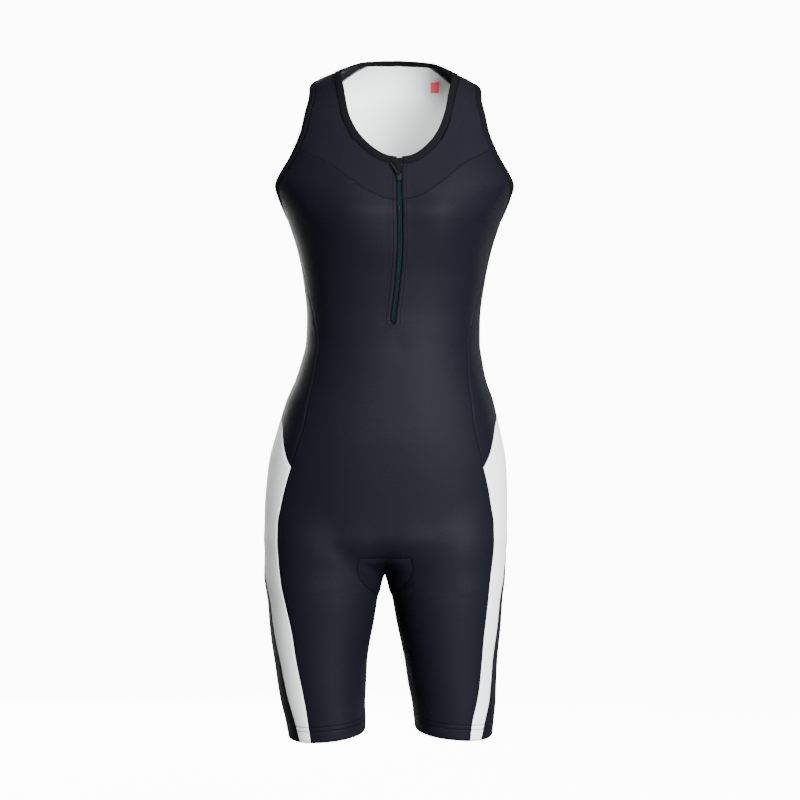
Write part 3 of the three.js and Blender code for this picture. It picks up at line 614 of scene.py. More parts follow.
hip_levels = TORSO_LEVELS[TORSO_LEVELS <= HIP_TOP + 1e-6]
hip_inner = np.where(hip_levels > CORNER_Z, side_back.turn(hip_levels), stripe_turn(hip_levels))
hip_body = side_rows(hip_levels, hip_inner, hip_back.turn(hip_levels), HIP_COLUMNS)
hip_crotch = side_rows(GUSSET_LEVELS, stripe_turn(GUSSET_LEVELS), hip_back.turn(GUSSET_LEVELS), HIP_COLUMNS)
hip_leg = leg_rows(LEG_SHARES, stripe_edge, seat_edge_turn, HIP_COLUMNS)
hip_crotch[0] = hip_body[-1]
hip_leg[0] = hip_crotch[-1]

back_levels = TORSO_LEVELS[TORSO_LEVELS >= SEAT_EDGE - 1e-6]
back_edge = np.where(back_levels > HIP_TOP, side_back.turn(back_levels), hip_back.turn(back_levels))
back_torso = back_rows(back_levels, back_edge)
back_right = np.concatenate([side_shoulder[:, -1], arm_back[1:]])
back_right[-1] = arm_yoke[-1]
back_seam = settle(mix(neck_yoke[-1], arm_yoke[-1], spread(0, 1, YOKE_COLUMNS)[:, None]))
back_seam[0], back_seam[-1] = neck_yoke[-1], arm_yoke[-1]
back_top = np.concatenate([back_seam[::-1], neck_back[1:]])
back_top[-1] = behind(0, neck_back[-1][2])
back_spine = behind(0, spread(underarm[2], back_top[-1][2], len(back_right) - 1))
back_shoulder = fill(back_torso[0], back_top, back_right, back_spine)

seat_levels = TORSO_LEVELS[TORSO_LEVELS <= SEAT_EDGE + 1e-6]
seat_body = back_rows(seat_levels, hip_back.turn(seat_levels))
seat_body[0] = back_torso[-1]
seat_crotch = side_rows(
    GUSSET_LEVELS, hip_back.turn(GUSSET_LEVELS), gusset_turn.back(GUSSET_LEVELS),
    BACK_COLUMNS - GUSSET_COLUMNS,
)
seat_leg = leg_rows(LEG_SHARES, seat_edge_turn, inseam + 360, BACK_COLUMNS - GUSSET_COLUMNS)
seat_crotch[0] = seat_body[-1, : BACK_COLUMNS - GUSSET_COLUMNS + 1]
seat_leg[0] = seat_crotch[-1]

yoke_zip = in_front(SLIT_HALF, spread(neck_yoke[0][2], yoke_seam.z(SLIT_HALF), ZIP_COLUMNS))
yoke_edge = np.concatenate([neck_yoke[:1], yoke_zip[1:-1], yoke_bottom])
yoke = fill(yoke_edge, back_seam, neck_yoke, arm_yoke)

# The gusset is laid across the crotch in slices from front to back
gusset_side = np.concatenate([front_crotch[:, 0], seat_crotch[::-1][1:, -1]])
gusset_front = front_torso[-1, : GUSSET_COLUMNS + 1]
gusset_back = seat_body[-1, BACK_COLUMNS - GUSSET_COLUMNS :][::-1]


def underside(x, y):
    high = np.full(x.shape, float(LEG_TOP))
    low = np.full(x.shape, float(HEM_Z))
    for _ in range(34):
        middle = (high + low) / 2
        within = form(point(x, y, middle)) < 0
        high = np.where(within, middle, high)
        low = np.where(within, low, middle)
    return point(x, y, high)


def gusset_row(corner, bulge):
    t = spread(0, 1, 60)
    profile = underside(corner[0] * np.sin(np.radians(90 * t)), corner[1] + bulge * (1 - t * t))
    profile[-1] = corner
    length = np.concatenate([[0], np.cumsum(np.linalg.norm(np.diff(profile, axis=0), axis=1))])
    goal = spread(0, length[-1], GUSSET_COLUMNS)
    return np.stack([np.interp(goal, length, profile[:, axis]) for axis in range(3)], -1)


def gusset_slices():
    middle = len(GUSSET_LEVELS) - 1
    rows = [gusset_front]
    for i, corner in enumerate(gusset_side[1:-1], 1):
        end = gusset_front if i < middle else gusset_back
        near = abs(i - middle) / middle
        rows.append(gusset_row(corner, (end[0][1] - end[-1][1]) * near * near))
        rows[-1][-1] = corner
    rows.append(gusset_back)
    return np.array(rows)


gusset = gusset_slices()


def binding_rows(opening, *stops):
    """Rows across a binding, from its free edge to its seam."""
    index = np.concatenate([spread(a, b, count)[1 if i else 0 :] for i, (a, b, count) in enumerate(stops)])
    across = spread(0, 1, 6)[None, :, None]
    return settle(mix(opening.edge(index)[:, None], opening.seam(index)[:, None], across))


arm_binding = binding_rows(
    armhole,
    (ARM_UNDER, ARM_YOKE, ARM_FRONT_ROWS),
    (ARM_YOKE, ARM_BACK_SEAM - ARM_TURNS, NECK_ROWS),
    (ARM_BACK_SEAM - ARM_TURNS, ARM_BACK - ARM_TURNS, ARM_BACK_ROWS),
    (ARM_BACK - ARM_TURNS, ARM_UNDER - ARM_TURNS, ARM_SIDE_ROWS),
)
arm_binding[-1] = arm_binding[0]
neck_binding = binding_rows(
    neck, (NECK_START, NECK_BACK_SEAM, NECK_ROWS), (NECK_BACK_SEAM, NECK_BACK_CENTRE, NECK_COLUMNS)
)
neck_binding[-1, :, 0] = 0


def stand(p):
    """The worn stance: leans the form aside, draws the centre front over and tips the hems."""
    x, y, z = p[..., 0], p[..., 1], p[..., 2]
    near = np.maximum(1 - (x / 130) ** 2, 0) ** 2
    round_it = mix(smooth(-y, -20, 40), 1, smooth(z, -80, 0))
    tip = 1.5 * np.sign(x) * smooth(-z, -INSEAM_TOP, -HEM_Z)
    tilt = -SHOULDER_TILT * x * smooth(z, -100, -10)
    return point(x + stance.aside(z) + twist.aside(z) * near * round_it, y, z + tip + tilt)


# Creases: side of the suit, start and end across and up, half width, and height or depth
FRONT, BACK = -1, 1
CREASES = [
    (FRONT, (-30, -663), (-15, -673), 4, -1.8),
    (FRONT, (-34, -668), (-22, -682), 6, 1.2),
    (FRONT, (34, -692), (15, -705), 4, -2.2),
    (FRONT, (40, -684), (58, -676), 7, -0.8),
    (FRONT, (-44, -655), (-66, -640), 9, -0.7),
    (FRONT, (66, -889), (78, -887), 5, -1.1),
    (FRONT, (-40, -780), (-52, -850), 14, -0.8),
    (FRONT, (44, -760), (50, -845), 15, -1.0),
    (FRONT, (120, -196), (96, -214), 9, -0.9),
    (FRONT, (-122, -200), (-98, -222), 9, -0.9),
    (FRONT, (-108, -352), (-82, -360), 12, -0.7),
    (FRONT, (106, -372), (78, -382), 11, -0.7),
    (FRONT, (8, -352), (14, -384), 10, -0.6),
    (BACK, (-96, -372), (-38, -388), 8, -1.8),
    (BACK, (92, -382), (30, -398), 8, -1.8),
    (BACK, (-62, -345), (10, -352), 9, -1.3),
    (BACK, (76, -338), (24, -330), 8, -1.1),
    (BACK, (-40, -412), (34, -420), 10, -1.4),
    (BACK, (-112, -668), (-58, -682), 9, -2.0),
    (BACK, (110, -672), (54, -684), 9, -2.0),
    (BACK, (-34, -650), (-20, -690), 7, -1.5),
    (BACK, (32, -648), (18, -692), 7, -1.5),
    (BACK, (0, -560), (2, -640), 12, -3.0),
    (BACK, (-118, -742), (-70, -752), 8, -1.0),
    (BACK, (116, -750), (66, -744), 8, -1.0),
    (BACK, (-118, -150), (-84, -190), 9, -1.2),
    (BACK, (118, -156), (82, -192), 9, -1.2),
    (BACK, (-12, -250), (-8, -330), 12, -1.0),
]


def crease_height(p):
    """How far the cloth rises or sinks along its creases."""
    height = np.zeros(p.shape[:-1])
    for side, start, end, wide, rise in CREASES:
        start, end = np.array(start, float), np.array(end, float)
        along = end - start
        flat = p[..., [0, 2]] - start
        share = np.clip((flat @ along) / (along @ along), 0, 1)
        away = np.linalg.norm(flat - share[..., None] * along, axis=-1)
        taper = 0.35 + 0.65 * np.sin(np.pi * np.clip(share, 0.12, 0.88))
        facing = smooth(side * p[..., 1], 0, 30)
        height += rise * taper * facing * np.exp(-(away / wide) ** 2)
    return height


def lip_height(p):
    """The folded lips beside the zip stand a little above the front."""
    x, y, z = np.abs(p[..., 0]), p[..., 1], p[..., 2]
    level = smooth(z, SLIT_END - 10, SLIT_END - 4) * (y < 0)
    return LIP_RISE * (1 - smooth(x, LIP_HALF - 1, LIP_HALF + 2.5)) * level * (z < -100)


def mirrored(patch):
    return patch * np.array([-1.0, 1.0, 1.0])


def both(patches):
    return [*patches, *(mirrored(patch) for patch in patches)]


def grid_lengths(patch):
    """Lengths along and across a patch, for the weave."""
    u = np.zeros(patch.shape[:2])
    v = np.zeros(patch.shape[:2])
    u[:, 1:] = np.cumsum(np.linalg.norm(np.diff(patch, axis=1), axis=2), axis=1)
    v[1:] = np.cumsum(np.linalg.norm(np.diff(patch, axis=0), axis=2), axis=0)
    return np.stack([u, v], -1) * MM


def drawn_over(p):
    """Draws the cloth at the front of the thighs over to the left along the form."""
    near = np.maximum(1 - ((np.abs(p[:, 0]) - DRAWN["x"]) / DRAWN["wide"]) ** 2, 0) ** 2
    aside = drawn.aside(p[:, 2]) * near * smooth(-p[:, 1], 0, DRAWN["front"])
    some = aside > 0
    if not some.any():
        return p
    moved = p.copy()
    moved[some] = settle(p[some] + aside[some, None] * np.array([1.0, 0.0, 0.0]))
    return moved


def joined_faces(patches):
    """Welds patches into points, outward faces and the weave's coordinates."""
    every = np.concatenate([patch.reshape(-1, 3) for patch in patches])
    keys = np.round(every * 100).astype(np.int64)
    _, first, number = np.unique(keys, axis=0, return_index=True, return_inverse=True)
    points = drawn_over(every[first])
    normals = form_normal(points)
    faces, weave = [], []
    start = 0
    for patch in patches:
        rows, columns = patch.shape[:2]
        index = number.ravel()[start : start + rows * columns].reshape(rows, columns)
        uv = grid_lengths(patch)
        start += rows * columns
        for i in range(rows - 1):
            for j in range(columns - 1):
                ring = [(i, j), (i, j + 1), (i + 1, j + 1), (i + 1, j)]
                corners = [int(index[at_]) for at_ in ring]
                kept = [k for k in range(4) if corners[k] != corners[k - 1]]
                if len(kept) < 3 or len({corners[k] for k in kept}) < 3:
                    continue
                a, b, c = (points[corners[kept[k]]] for k in range(3))
                d = points[corners[kept[-1]]]
                facing = np.cross(c - a, d - b) if len(kept) == 4 else np.cross(b - a, c - a)
                if facing @ normals[corners[kept[0]]] < 0:
                    kept = kept[::-1]
                faces.append([corners[k] for k in kept])
                weave.append([tuple(uv[ring[k]]) for k in kept])
    return points, normals, faces, weave


def free_edges(faces):
    edges = {}
    for face in faces:
        for a, b in zip(face, face[1:] + face[:1]):
            if (b, a) in edges:
                del edges[b, a]
            else:
                edges[a, b] = True
    return list(edges)


def edge_ways(points, normals, faces, edges):
    """For each point of the free edges: the way in from the edge, and how far its roll may reach."""
    ways, spacing = {}, {}
    rim = {vertex for edge in edges for vertex in edge}
    for a, b in edges:
        along = unit(points[b] - points[a])
        for vertex in (a, b):
            ways.setdefault(vertex, []).append(unit(np.cross(normals[vertex], along)))
    for face in faces:
        for a, b in zip(face, face[1:] + face[:1]):
            for here, there in ((a, b), (b, a)):
                if here in rim:
                    length = np.linalg.norm(points[here] - points[there])
                    if there in rim:
                        length = length * 0.5
                    spacing[here] = min(spacing.get(here, 99), length)
    result = {}
    for vertex, found in ways.items():
        half = unit(sum(found))
        result[vertex] = (half / max(float(half @ found[0]), 0.3), spacing[vertex])
    return result


def make_object(name, points, faces, weave=None):
    mesh = bpy.data.meshes.new(name)
    mesh.from_pydata([tuple(p) for p in points * MM], [], faces)
    mesh.shade_smooth()
    if weave is not None:
        layer = mesh.uv_layers.new(name="Weave")
        flat = np.array([uv for face in weave for uv in face])
        layer.uv.foreach_set("vector", flat.ravel())
    piece = bpy.data.objects.new(name, mesh)
    bpy.context.scene.collection.objects.link(piece)
    return piece


def nearest(p, line):
    """The distance from each point to the nearest point of a line."""
    tree = KDTree(len(line))
    for i, sample in enumerate(line):
        tree.insert(sample, i)
    tree.balance()
    return np.array([tree.find(q)[2] for q in p])


# An edge this near a binding's seam belongs to it, and one that leans more than this is at a corner
AT_SEAM = 0.5
CORNER_LEAN = 0.35

# Elsewhere the edge that faces this way, outwards on each side, is the one that reaches under
OVER_WAY = (0.5, 0.6, 0.6)
every_seam = [neck.seam(spread(0, len(neck.rows), 900)), armhole.seam(spread(0, ARM_TURNS, 900))]
binding_seams = np.concatenate([*every_seam, *(line * [-1, 1, 1] for line in every_seam)])


def tucked(p, out, binding):
    """How far an edge's inner side reaches under its neighbour, so no light comes through the seam."""
    at_binding = nearest(p, binding_seams) < AT_SEAM
    if binding:
        return np.where(at_binding, TUCK, 0)
    place = np.array([np.argmin(np.sum((binding_seams - one) ** 2, -1)) for one in p])
    place = np.minimum(place, len(binding_seams) - 2)
    along = unit(binding_seams[place + 1] - binding_seams[place])
    corner = np.abs(np.sum(out * along, -1)) > CORNER_LEAN
    across, back, up = OVER_WAY
    way = across * np.sign(p[:, 0]) * out[:, 0] + back * out[:, 1] + up * out[:, 2]
    return np.where(at_binding, np.where(corner, 0, -TUCK), TUCK * np.sign(way))


def shell(name, patches, slot, lift=0.0, thickness=WALL, roll=ROLL, drop=ROLL_DROP, rise=None):
    """One closed sheet over patches of the form, its edges rolled down into the seams."""
    points, normals, faces, weave = joined_faces(patches)
    edges = free_edges(faces)
    ways = edge_ways(points, normals, faces, edges)
    count = len(points)
    rim = sorted(ways)
    place = {vertex: 2 * count + i for i, vertex in enumerate(rim)}
    outer = points.copy()
    ends = []
    for vertex in rim:
        way, room = ways[vertex]
        ends.append(points[vertex] + way * SEAM_GAP / 2)
        outer[vertex] = points[vertex] + way * min(roll, 0.4 * room)
    height = lift + crease_height(points)
    if rise is not None:
        height = height + rise(points)
    ends = np.array(ends)
    out = np.array([-ways[vertex][0] for vertex in rim])
    room = np.array([min(roll, 0.4 * ways[vertex][1]) for vertex in rim])
    tuck = np.clip(tucked(points[rim], out, slot == "binding"), -0.6 * room, TUCK)
    end_height = height[rim] - drop
    end_normals = normals[rim]
    top = outer + normals * height[:, None]
    under = outer + normals * (height - thickness)[:, None]
    top_end = ends + end_normals * end_height[:, None]
    under_end = ends + out * tuck[:, None] + end_normals * (height[rim] - thickness + drop * 0.4)[:, None]
    shift = len(rim)
    all_faces = [*faces, *([vertex + count for vertex in reversed(face)] for face in faces)]
    all_weave = [*weave, *(face[::-1] for face in weave)]
    for a, b in edges:
        strips = [
            (b, a, place[a], place[b]),
            (place[b], place[a], place[a] + shift, place[b] + shift),
            (place[b] + shift, place[a] + shift, a + count, b + count),
        ]
        all_faces.extend(strips)
        step = float(np.linalg.norm(points[a] - points[b])) * MM
        all_weave.extend([[(0, 0), (step, 0), (step, 0.001), (0, 0.001)]] * 3)
    every = stand(np.concatenate([top, under, top_end, under_end]))
    piece = make_object(name, every, all_faces, all_weave)
    mark_edges(piece, points, edges, count, rim)
    return piece


def mark_edges(piece, points, edges, count, rim):
    """Stores how far each point lies from the panel's edge, from the zip and above the hem."""
    samples = []
    for a, b in edges:
        steps = max(int(np.linalg.norm(points[a] - points[b])), 1)
        samples.extend(mix(points[a], points[b], t) for t in np.arange(steps) / steps)
    tree = KDTree(len(samples))
    for i, sample in enumerate(samples):
        tree.insert(sample, i)
    tree.balance()
    edge = np.array([tree.find(p)[2] for p in points])
    hem = (points[:, 2] - leg_level(1.0, turn_of(point(np.abs(points[:, 0]), points[:, 1], points[:, 2]))))
    zip_side = np.where(points[:, 1] < 0, np.abs(points[:, 0]), 200)
    zip_side = np.where(points[:, 2] < SLIT_END - 8, 200, zip_side)
    for name, value, at_rim in (("edge", edge, 0.0), ("hem", hem, None), ("zip_side", zip_side, None)):
        ends = value[rim] if at_rim is None else np.full(len(rim), at_rim)
        whole = np.concatenate([value, value, ends, ends])
        layer = piece.data.attributes.new(name, "FLOAT", "POINT")
        layer.data.foreach_set("value", whole.astype(np.float32))


def gusset_rise(p):
    """The thin seat pad under the gusset fills it out."""
    return PAD_RISE * smooth(gusset_room(p), 1, 9)


def gusset_room(p):
    outline = np.concatenate([gusset_side, gusset_front, gusset_back])
    return nearest(p, np.concatenate([outline, mirrored(outline)]))


def crown(p, line):
    """A binding is a folded tape: rounded across, highest along its middle."""
    t = nearest(p, line) / BINDING_WIDTH
    return 0.5 * np.maximum(1 - (2 * t - 1) ** 2, 0)


panels = {}


def add_panel(name, patches, slot, **options):
    panels[name] = shell(name + "_cloth", patches, slot, **options)
    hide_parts(name)


def add_halves(name, patches, slot, **options):
    add_panel(name + "_left", patches, slot, **options)
    add_panel(name + "_right", [mirrored(patch) for patch in patches], slot, **options)


front_patches = both([front_torso, front_chest, front_crotch, front_leg])
add_panel("front_body", front_patches, "black_cloth", rise=lip_height)
add_halves("side", [side_body, side_shoulder], "black_cloth")
add_halves("hip_panel", [hip_body, hip_crotch, hip_leg], "white_cloth")
add_panel("back_body", both([back_torso, back_shoulder]), "white_cloth")
add_halves("seat", [seat_body, seat_crotch, seat_leg], "black_cloth")
add_halves("yoke", [yoke], "charcoal_cloth", rise=lip_height)
add_panel("gusset", both([gusset]), "black_cloth", rise=gusset_rise)

neck_free = neck.edge(spread(0, len(neck.rows), 400))
arm_free = armhole.edge(spread(0, ARM_TURNS, 400))
add_panel(
    "neck_binding", both([neck_binding]), "binding", lift=BINDING_LIFT, thickness=BINDING_WALL,
    roll=1.0, drop=1.0, rise=lambda p: crown(p, neck_free),
)
for side, turn in (("left", 1), ("right", -1)):
    flip = np.array([turn, 1.0, 1.0])
    add_panel(
        "armhole_binding_" + side, [arm_binding * flip], "binding", lift=BINDING_LIFT,
        thickness=BINDING_WALL, roll=1.0, drop=1.0, rise=lambda p, flip=flip: crown(p, arm_free * flip),
    )

# Zip: tapes, coil, slider, pull and the flap that parks the slider
ZIP_LEVELS = spread(float(neck_yoke[0][2]) - 2, SLIT_END - 2, 64)
tape = in_front(spread(TAPE_INNER, TAPE_HALF, 5)[None, :], ZIP_LEVELS[:, None])
add_halves("zip_tape", [tape], "binding", lift=-WALL - LAYER_GAP, thickness=0.9, roll=0.6, drop=0.2)

FLAP_TOP, FLAP_TIP = -110.5, -131
FLAP_LEFT, FLAP_TIP_LEFT, FLAP_RIGHT = -13.7, 0.9, 3.8
FLAP_LIFT = 2.2
flap_share = spread(0, 1, 18)[:, None]
flap_left = mix(FLAP_TIP_LEFT, FLAP_LEFT, flap_share)
flap = in_front(mix(flap_left, FLAP_RIGHT, spread(0, 1, 12)[None, :]), mix(FLAP_TIP, FLAP_TOP, flap_share))
add_panel("zip_flap", [flap], "binding", lift=FLAP_LIFT, thickness=1.1, roll=0.9, drop=0.5)

LABEL_ROWS = spread(-8, 7, 10)[:, None]
LABEL_COLUMNS = spread(47.5, 59.5, 8)[None, :]
LABEL_INSET = 1.25
label = behind(LABEL_COLUMNS, LABEL_ROWS)
add_panel("neck_label", [label], "label", lift=-WALL - LABEL_INSET, thickness=0.9, roll=0.5, drop=0.25)


def deselect_all():
    if bpy.context.object and bpy.context.object.mode != "OBJECT":
        bpy.ops.object.mode_set(mode="OBJECT")
    bpy.ops.object.select_all(action="DESELECT")


def start_editing(pick=None):
    """Goes into edit mode with only the picked faces, or with all of them."""
    piece = bpy.context.object
    bpy.ops.object.mode_set(mode="EDIT")
    bpy.ops.mesh.select_mode(type="FACE")
    bpy.ops.mesh.select_all(action="SELECT" if pick is None else "DESELECT")
    if pick is not None:
        mesh = bmesh.from_edit_mesh(piece.data)
        for face in mesh.faces:
            face.select_set(bool(pick(face)))
        bmesh.update_edit_mesh(piece.data)


def stop_editing():
    bpy.ops.object.mode_set(mode="OBJECT")


def rounded(width, segments=3):
    """Rounds a hard piece's edges, and shades what is left smooth."""
    piece = bpy.context.object
    bevel = piece.modifiers.new("Rounded", "BEVEL")
    bevel.width = width
    bevel.segments = segments
    bevel.limit_method = "ANGLE"
    bpy.ops.object.modifier_apply(modifier=bevel.name)
    bpy.ops.object.shade_smooth_by_angle(angle=0.7)
    return piece


def shape_of(piece):
    """A modelled piece's points and faces, and the piece is taken away."""
    points = np.array([tuple(vertex.co) for vertex in piece.data.vertices])
    faces = [list(face.vertices) for face in piece.data.polygons]
    bpy.data.objects.remove(piece)
    return points, faces


def coil_turn():
    """One turn of the zip's coil: a flattened loop, wider at its head."""
    deselect_all()
    bpy.ops.mesh.primitive_torus_add(
        major_radius=1.62, minor_radius=0.36, major_segments=14, minor_segments=6,
        rotation=(np.pi / 2, 0, 0.16),
    )
    piece = bpy.context.object
    bpy.ops.object.transform_apply(location=True, rotation=True, scale=True)
    start_editing()
    bpy.ops.transform.resize(value=(1.0, 1.0, 0.52))
    stop_editing()
    start_editing(lambda face: face.calc_center_median().x < -1.2)
    bpy.ops.transform.resize(value=(1.0, 1.35, 1.0))
    stop_editing()
    return shape_of(piece)


def stitch_grain():
    """One stitch: a short length of thread that dips into the cloth at its ends."""
    deselect_all()
    bpy.ops.mesh.primitive_cylinder_add(vertices=6, radius=0.24, depth=2.0, rotation=(np.pi / 2, 0, 0))
    piece = bpy.context.object
    bpy.ops.object.transform_apply(location=True, rotation=True, scale=True)
    start_editing(lambda face: abs(face.calc_center_median().y) > 0.9)
    bpy.ops.mesh.extrude_faces_move(TRANSFORM_OT_shrink_fatten={"value": 0.25})
    bpy.ops.transform.resize(value=(0.5, 1.0, 0.5), center_override=(0, 0, -0.1))
    bpy.ops.transform.translate(value=(0, 0, -0.22))
    stop_editing()
    return shape_of(piece)


def frames_on(p, ahead, lift):
    """Places on the standing cloth: origins, and the ways across, along and out."""
    e = 0.5
    normal = form_normal(p)
    origin = stand(p + normal * lift[..., None])
    along = unit(stand(p + ahead * e + normal * lift[..., None]) - origin)
    out = unit(stand(p + normal * (lift[..., None] + e)) - origin)
    across = unit(np.cross(along, out))
    return origin, across, along, out


def copied(shape, frames, scale=(1.0, 1.0, 1.0)):
    points, faces = shape
    origin, across, along, out = frames
    points = points * np.array(scale)
    moved = (
        origin[:, None]
        + across[:, None] * points[None, :, 0:1]
        + along[:, None] * points[None, :, 1:2]
        + out[:, None] * points[None, :, 2:3]
    )
    count = len(points)
    all_faces = [[i * count + vertex for vertex in face] for i in range(len(origin)) for face in faces]
    return moved.reshape(-1, 3), all_faces


def together(shapes):
    points, faces, start = [], [], 0
    for some_points, some_faces in shapes:
        points.append(some_points)
        faces.extend([vertex + start for vertex in face] for face in some_faces)
        start += len(some_points)
    return np.concatenate(points), faces


def zip_coil():
    turn = coil_turn()
    pitch = 1.55
    shapes = []
    for side, offset in ((1, 0.0), (-1, pitch / 2)):
        z = np.arange(COIL_TOP - offset - 1, SLIT_END + 1, -pitch)
        p = in_front(np.full(len(z), side * 1.35), z)
        frames = frames_on(p, np.broadcast_to([0, 0, 1.0], p.shape), np.full(len(z), -0.45))
        shapes.append(copied(turn, frames, (side, 1, 1)))
    points, faces = together([shapes[0], (shapes[1][0], [face[::-1] for face in shapes[1][1]])])
    piece = make_object("zip_coil_turns", points, faces)
    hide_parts("zip_coil")
    return piece


# The slider and its pull lie on the zip: +X across, +Y up the zip, +Z out of the cloth
SLIDER_Z = -137.5
SLIDER_LIFT = 1.1
SLIDER_HALF, SLIDER_TAIL, SLIDER_LENGTH, SLIDER_HEIGHT = 3.9, 3.0, 10.0, 2.4
PULL_LENGTH, PULL_HALF, PULL_THICK = 20.0, 1.6, 1.3
PULL_TURN, PULL_TILT = 33.7, 9.0
PIVOT_ACROSS, PIVOT_ALONG, PIVOT_HEIGHT = -1.0, 4.2, 4.5


def zip_place():
    seat = in_front(np.array(0.0), np.array(SLIDER_Z))
    out = form_normal(seat)
    side = np.array([1.0, 0.0, 0.0])
    origin = stand(seat) + out * SLIDER_LIFT
    up = np.cross(out, side)
    rows = np.stack([side, up, out], 1)
    place = Matrix.Identity(4)
    for i in range(3):
        for j in range(3):
            place[i][j] = rows[i][j]
        place[i][3] = origin[i]
    return Matrix.Scale(MM, 4) @ place


ZIP_PLACE = zip_place()
PIN_PLACE = (
    ZIP_PLACE
    @ Matrix.Translation((PIVOT_ACROSS, PIVOT_ALONG, PIVOT_HEIGHT))
    @ Matrix.Rotation(np.radians(PULL_TURN), 4, "Z")
)


def placed(piece, place, name, node):
    """Puts a finished hard piece where it belongs, its place in its mesh."""
    piece.data.transform(place)
    piece.name = piece.data.name = name
    if node:
        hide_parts(node)
    return piece


def join_all(pieces):
    deselect_all()
    for piece in pieces:
        piece.select_set(True)
    bpy.context.view_layer.objects.active = pieces[0]
    bpy.ops.object.join()
    return bpy.context.object


def zip_slider():
    """The slider's body: a tapered plate with a raised middle, and the loop that holds the pull."""
    deselect_all()
    bpy.ops.mesh.primitive_cube_add(size=2, location=(0, 0, SLIDER_HEIGHT / 2))
    body = bpy.context.object
    body.scale = (SLIDER_HALF, SLIDER_LENGTH / 2, SLIDER_HEIGHT / 2)
    bpy.ops.object.transform_apply(location=True, rotation=True, scale=True)
    start_editing(lambda face: face.normal.y < -0.9)
    bpy.ops.transform.resize(value=(SLIDER_TAIL / SLIDER_HALF, 1, 0.85))
    stop_editing()
    start_editing(lambda face: face.normal.z > 0.7)
    bpy.ops.mesh.inset(thickness=0.9, depth=0)
    bpy.ops.mesh.extrude_region_move(TRANSFORM_OT_translate={"value": (0, 0, 0.45)})
    bpy.ops.transform.resize(value=(0.8, 0.86, 1))
    stop_editing()
    body = rounded(0.45)
    deselect_all()
    bpy.ops.mesh.primitive_torus_add(
        major_radius=1.12, minor_radius=0.38, major_segments=24, minor_segments=10, rotation=(0, np.pi / 2, 0)
    )
    loop = bpy.context.object
    bpy.ops.object.transform_apply(location=True, rotation=True, scale=True)
    start_editing(lambda face: face.calc_center_median().z < -0.2)
    bpy.ops.transform.translate(value=(0, 0, -1.3))
    bpy.ops.transform.resize(value=(1.5, 1.25, 1))
    stop_editing()
    bpy.ops.object.shade_smooth()
    loop_place = Matrix.Translation((PIVOT_ACROSS, PIVOT_ALONG, PIVOT_HEIGHT))
    loop.data.transform(loop_place @ Matrix.Rotation(np.radians(PULL_TURN), 4, "Z"))
    return placed(join_all([body, loop]), ZIP_PLACE, "zip_slider_body", "zip_slider")


def outline_plate(outline, thickness, bevel):
    """A plate of a flat outline, centred on its thickness."""
    deselect_all()
    bpy.ops.mesh.primitive_circle_add(vertices=len(outline), radius=1, fill_type="NGON")
    piece = bpy.context.object
    for vertex, (x, y) in zip(piece.data.vertices, outline):
        vertex.co = (x, y, -thickness / 2)
    start_editing()
    bpy.ops.mesh.extrude_region_move(TRANSFORM_OT_translate={"value": (0, 0, thickness)})
    bpy.ops.mesh.select_all(action="SELECT")
    bpy.ops.mesh.normals_make_consistent(inside=False)
    stop_editing()
    return rounded(bevel)


def zip_pull():
    """The pull: a slim tab forked round its pin, with a raised grip."""
    ear, low, high, neck_at, slot_half, notch = 2.1, -1.1, 3.6, 5.4, 1.2, 2.4
    end = PULL_LENGTH - PULL_HALF
    turns = np.radians(spread(0, 180, 12))
    outline = [
        (-ear, low), (-slot_half, low), (-slot_half, notch), (slot_half, notch), (slot_half, low),
        (ear, low), (ear, high), (PULL_HALF, neck_at),
        *((PULL_HALF * np.cos(a), end + PULL_HALF * np.sin(a)) for a in turns),
        (-PULL_HALF, neck_at), (-ear, high),
    ]
    tab = outline_plate(outline, PULL_THICK, 0.28)
    grip_half = 0.95
    grip = outline_plate(
        [
            *((grip_half * np.cos(a), end - 0.3 + grip_half * np.sin(a)) for a in turns),
            *((-grip_half * np.cos(a), 8 - grip_half * np.sin(a)) for a in turns),
        ],
        PULL_THICK + 0.5, 0.2,
    )
    deselect_all()
    bpy.ops.mesh.primitive_cylinder_add(vertices=20, radius=0.4, depth=3.6, rotation=(0, np.pi / 2, 0))
    pin = bpy.context.object
    bpy.ops.object.transform_apply(location=True, rotation=True, scale=True)
    rounded(0.08, 2)
    tilt = Matrix.Rotation(-np.radians(PULL_TILT), 4, "X")
    return placed(join_all([tab, grip, pin]), PIN_PLACE @ tilt, "zip_pull_tab", "zip_pull")


# Sewing
def spaced(line, pitch, closed=False):
    """Points a stitch apart along a line, with the way along it."""
    if closed:
        line = np.concatenate([line, line[:1]])
    steps = np.linalg.norm(np.diff(line, axis=0), axis=1)
    length = np.concatenate([[0], np.cumsum(steps)])
    count = max(int(length[-1] / pitch), 2)
    goal = (np.arange(count) + 0.5) * length[-1] / count
    places = np.stack([np.interp(goal, length, line[:, axis]) for axis in range(3)], -1)
    ends = np.stack([np.interp(goal + 0.2, length, line[:, axis]) for axis in range(3)], -1)
    starts = np.stack([np.interp(goal - 0.2, length, line[:, axis]) for axis in range(3)], -1)
    return settle(places), unit(ends - starts)


GRAIN = stitch_grain()


def sewn(line, pitch, lift=0.0, thick=1.0, outside=True, slant=0.0, shift=0.0, closed=False):
    """A row of stitches on the cloth's face, or on its inner face."""
    p, ahead = spaced(line, pitch, closed)
    across = unit(np.cross(ahead, form_normal(p)))
    p = settle(p + across * shift)
    ahead = unit(ahead * np.cos(slant) + across * np.sin(slant))
    height = crease_height(p) + lip_height(p) + lift
    if not outside:
        height = crease_height(p) - WALL - lift
    origin, side, along, out = frames_on(p, ahead, height)
    if not outside:
        side, out = -side, -out
    length = pitch * 0.78 / 2.5
    return copied(GRAIN, (origin, side, along, out), (thick, length, thick))


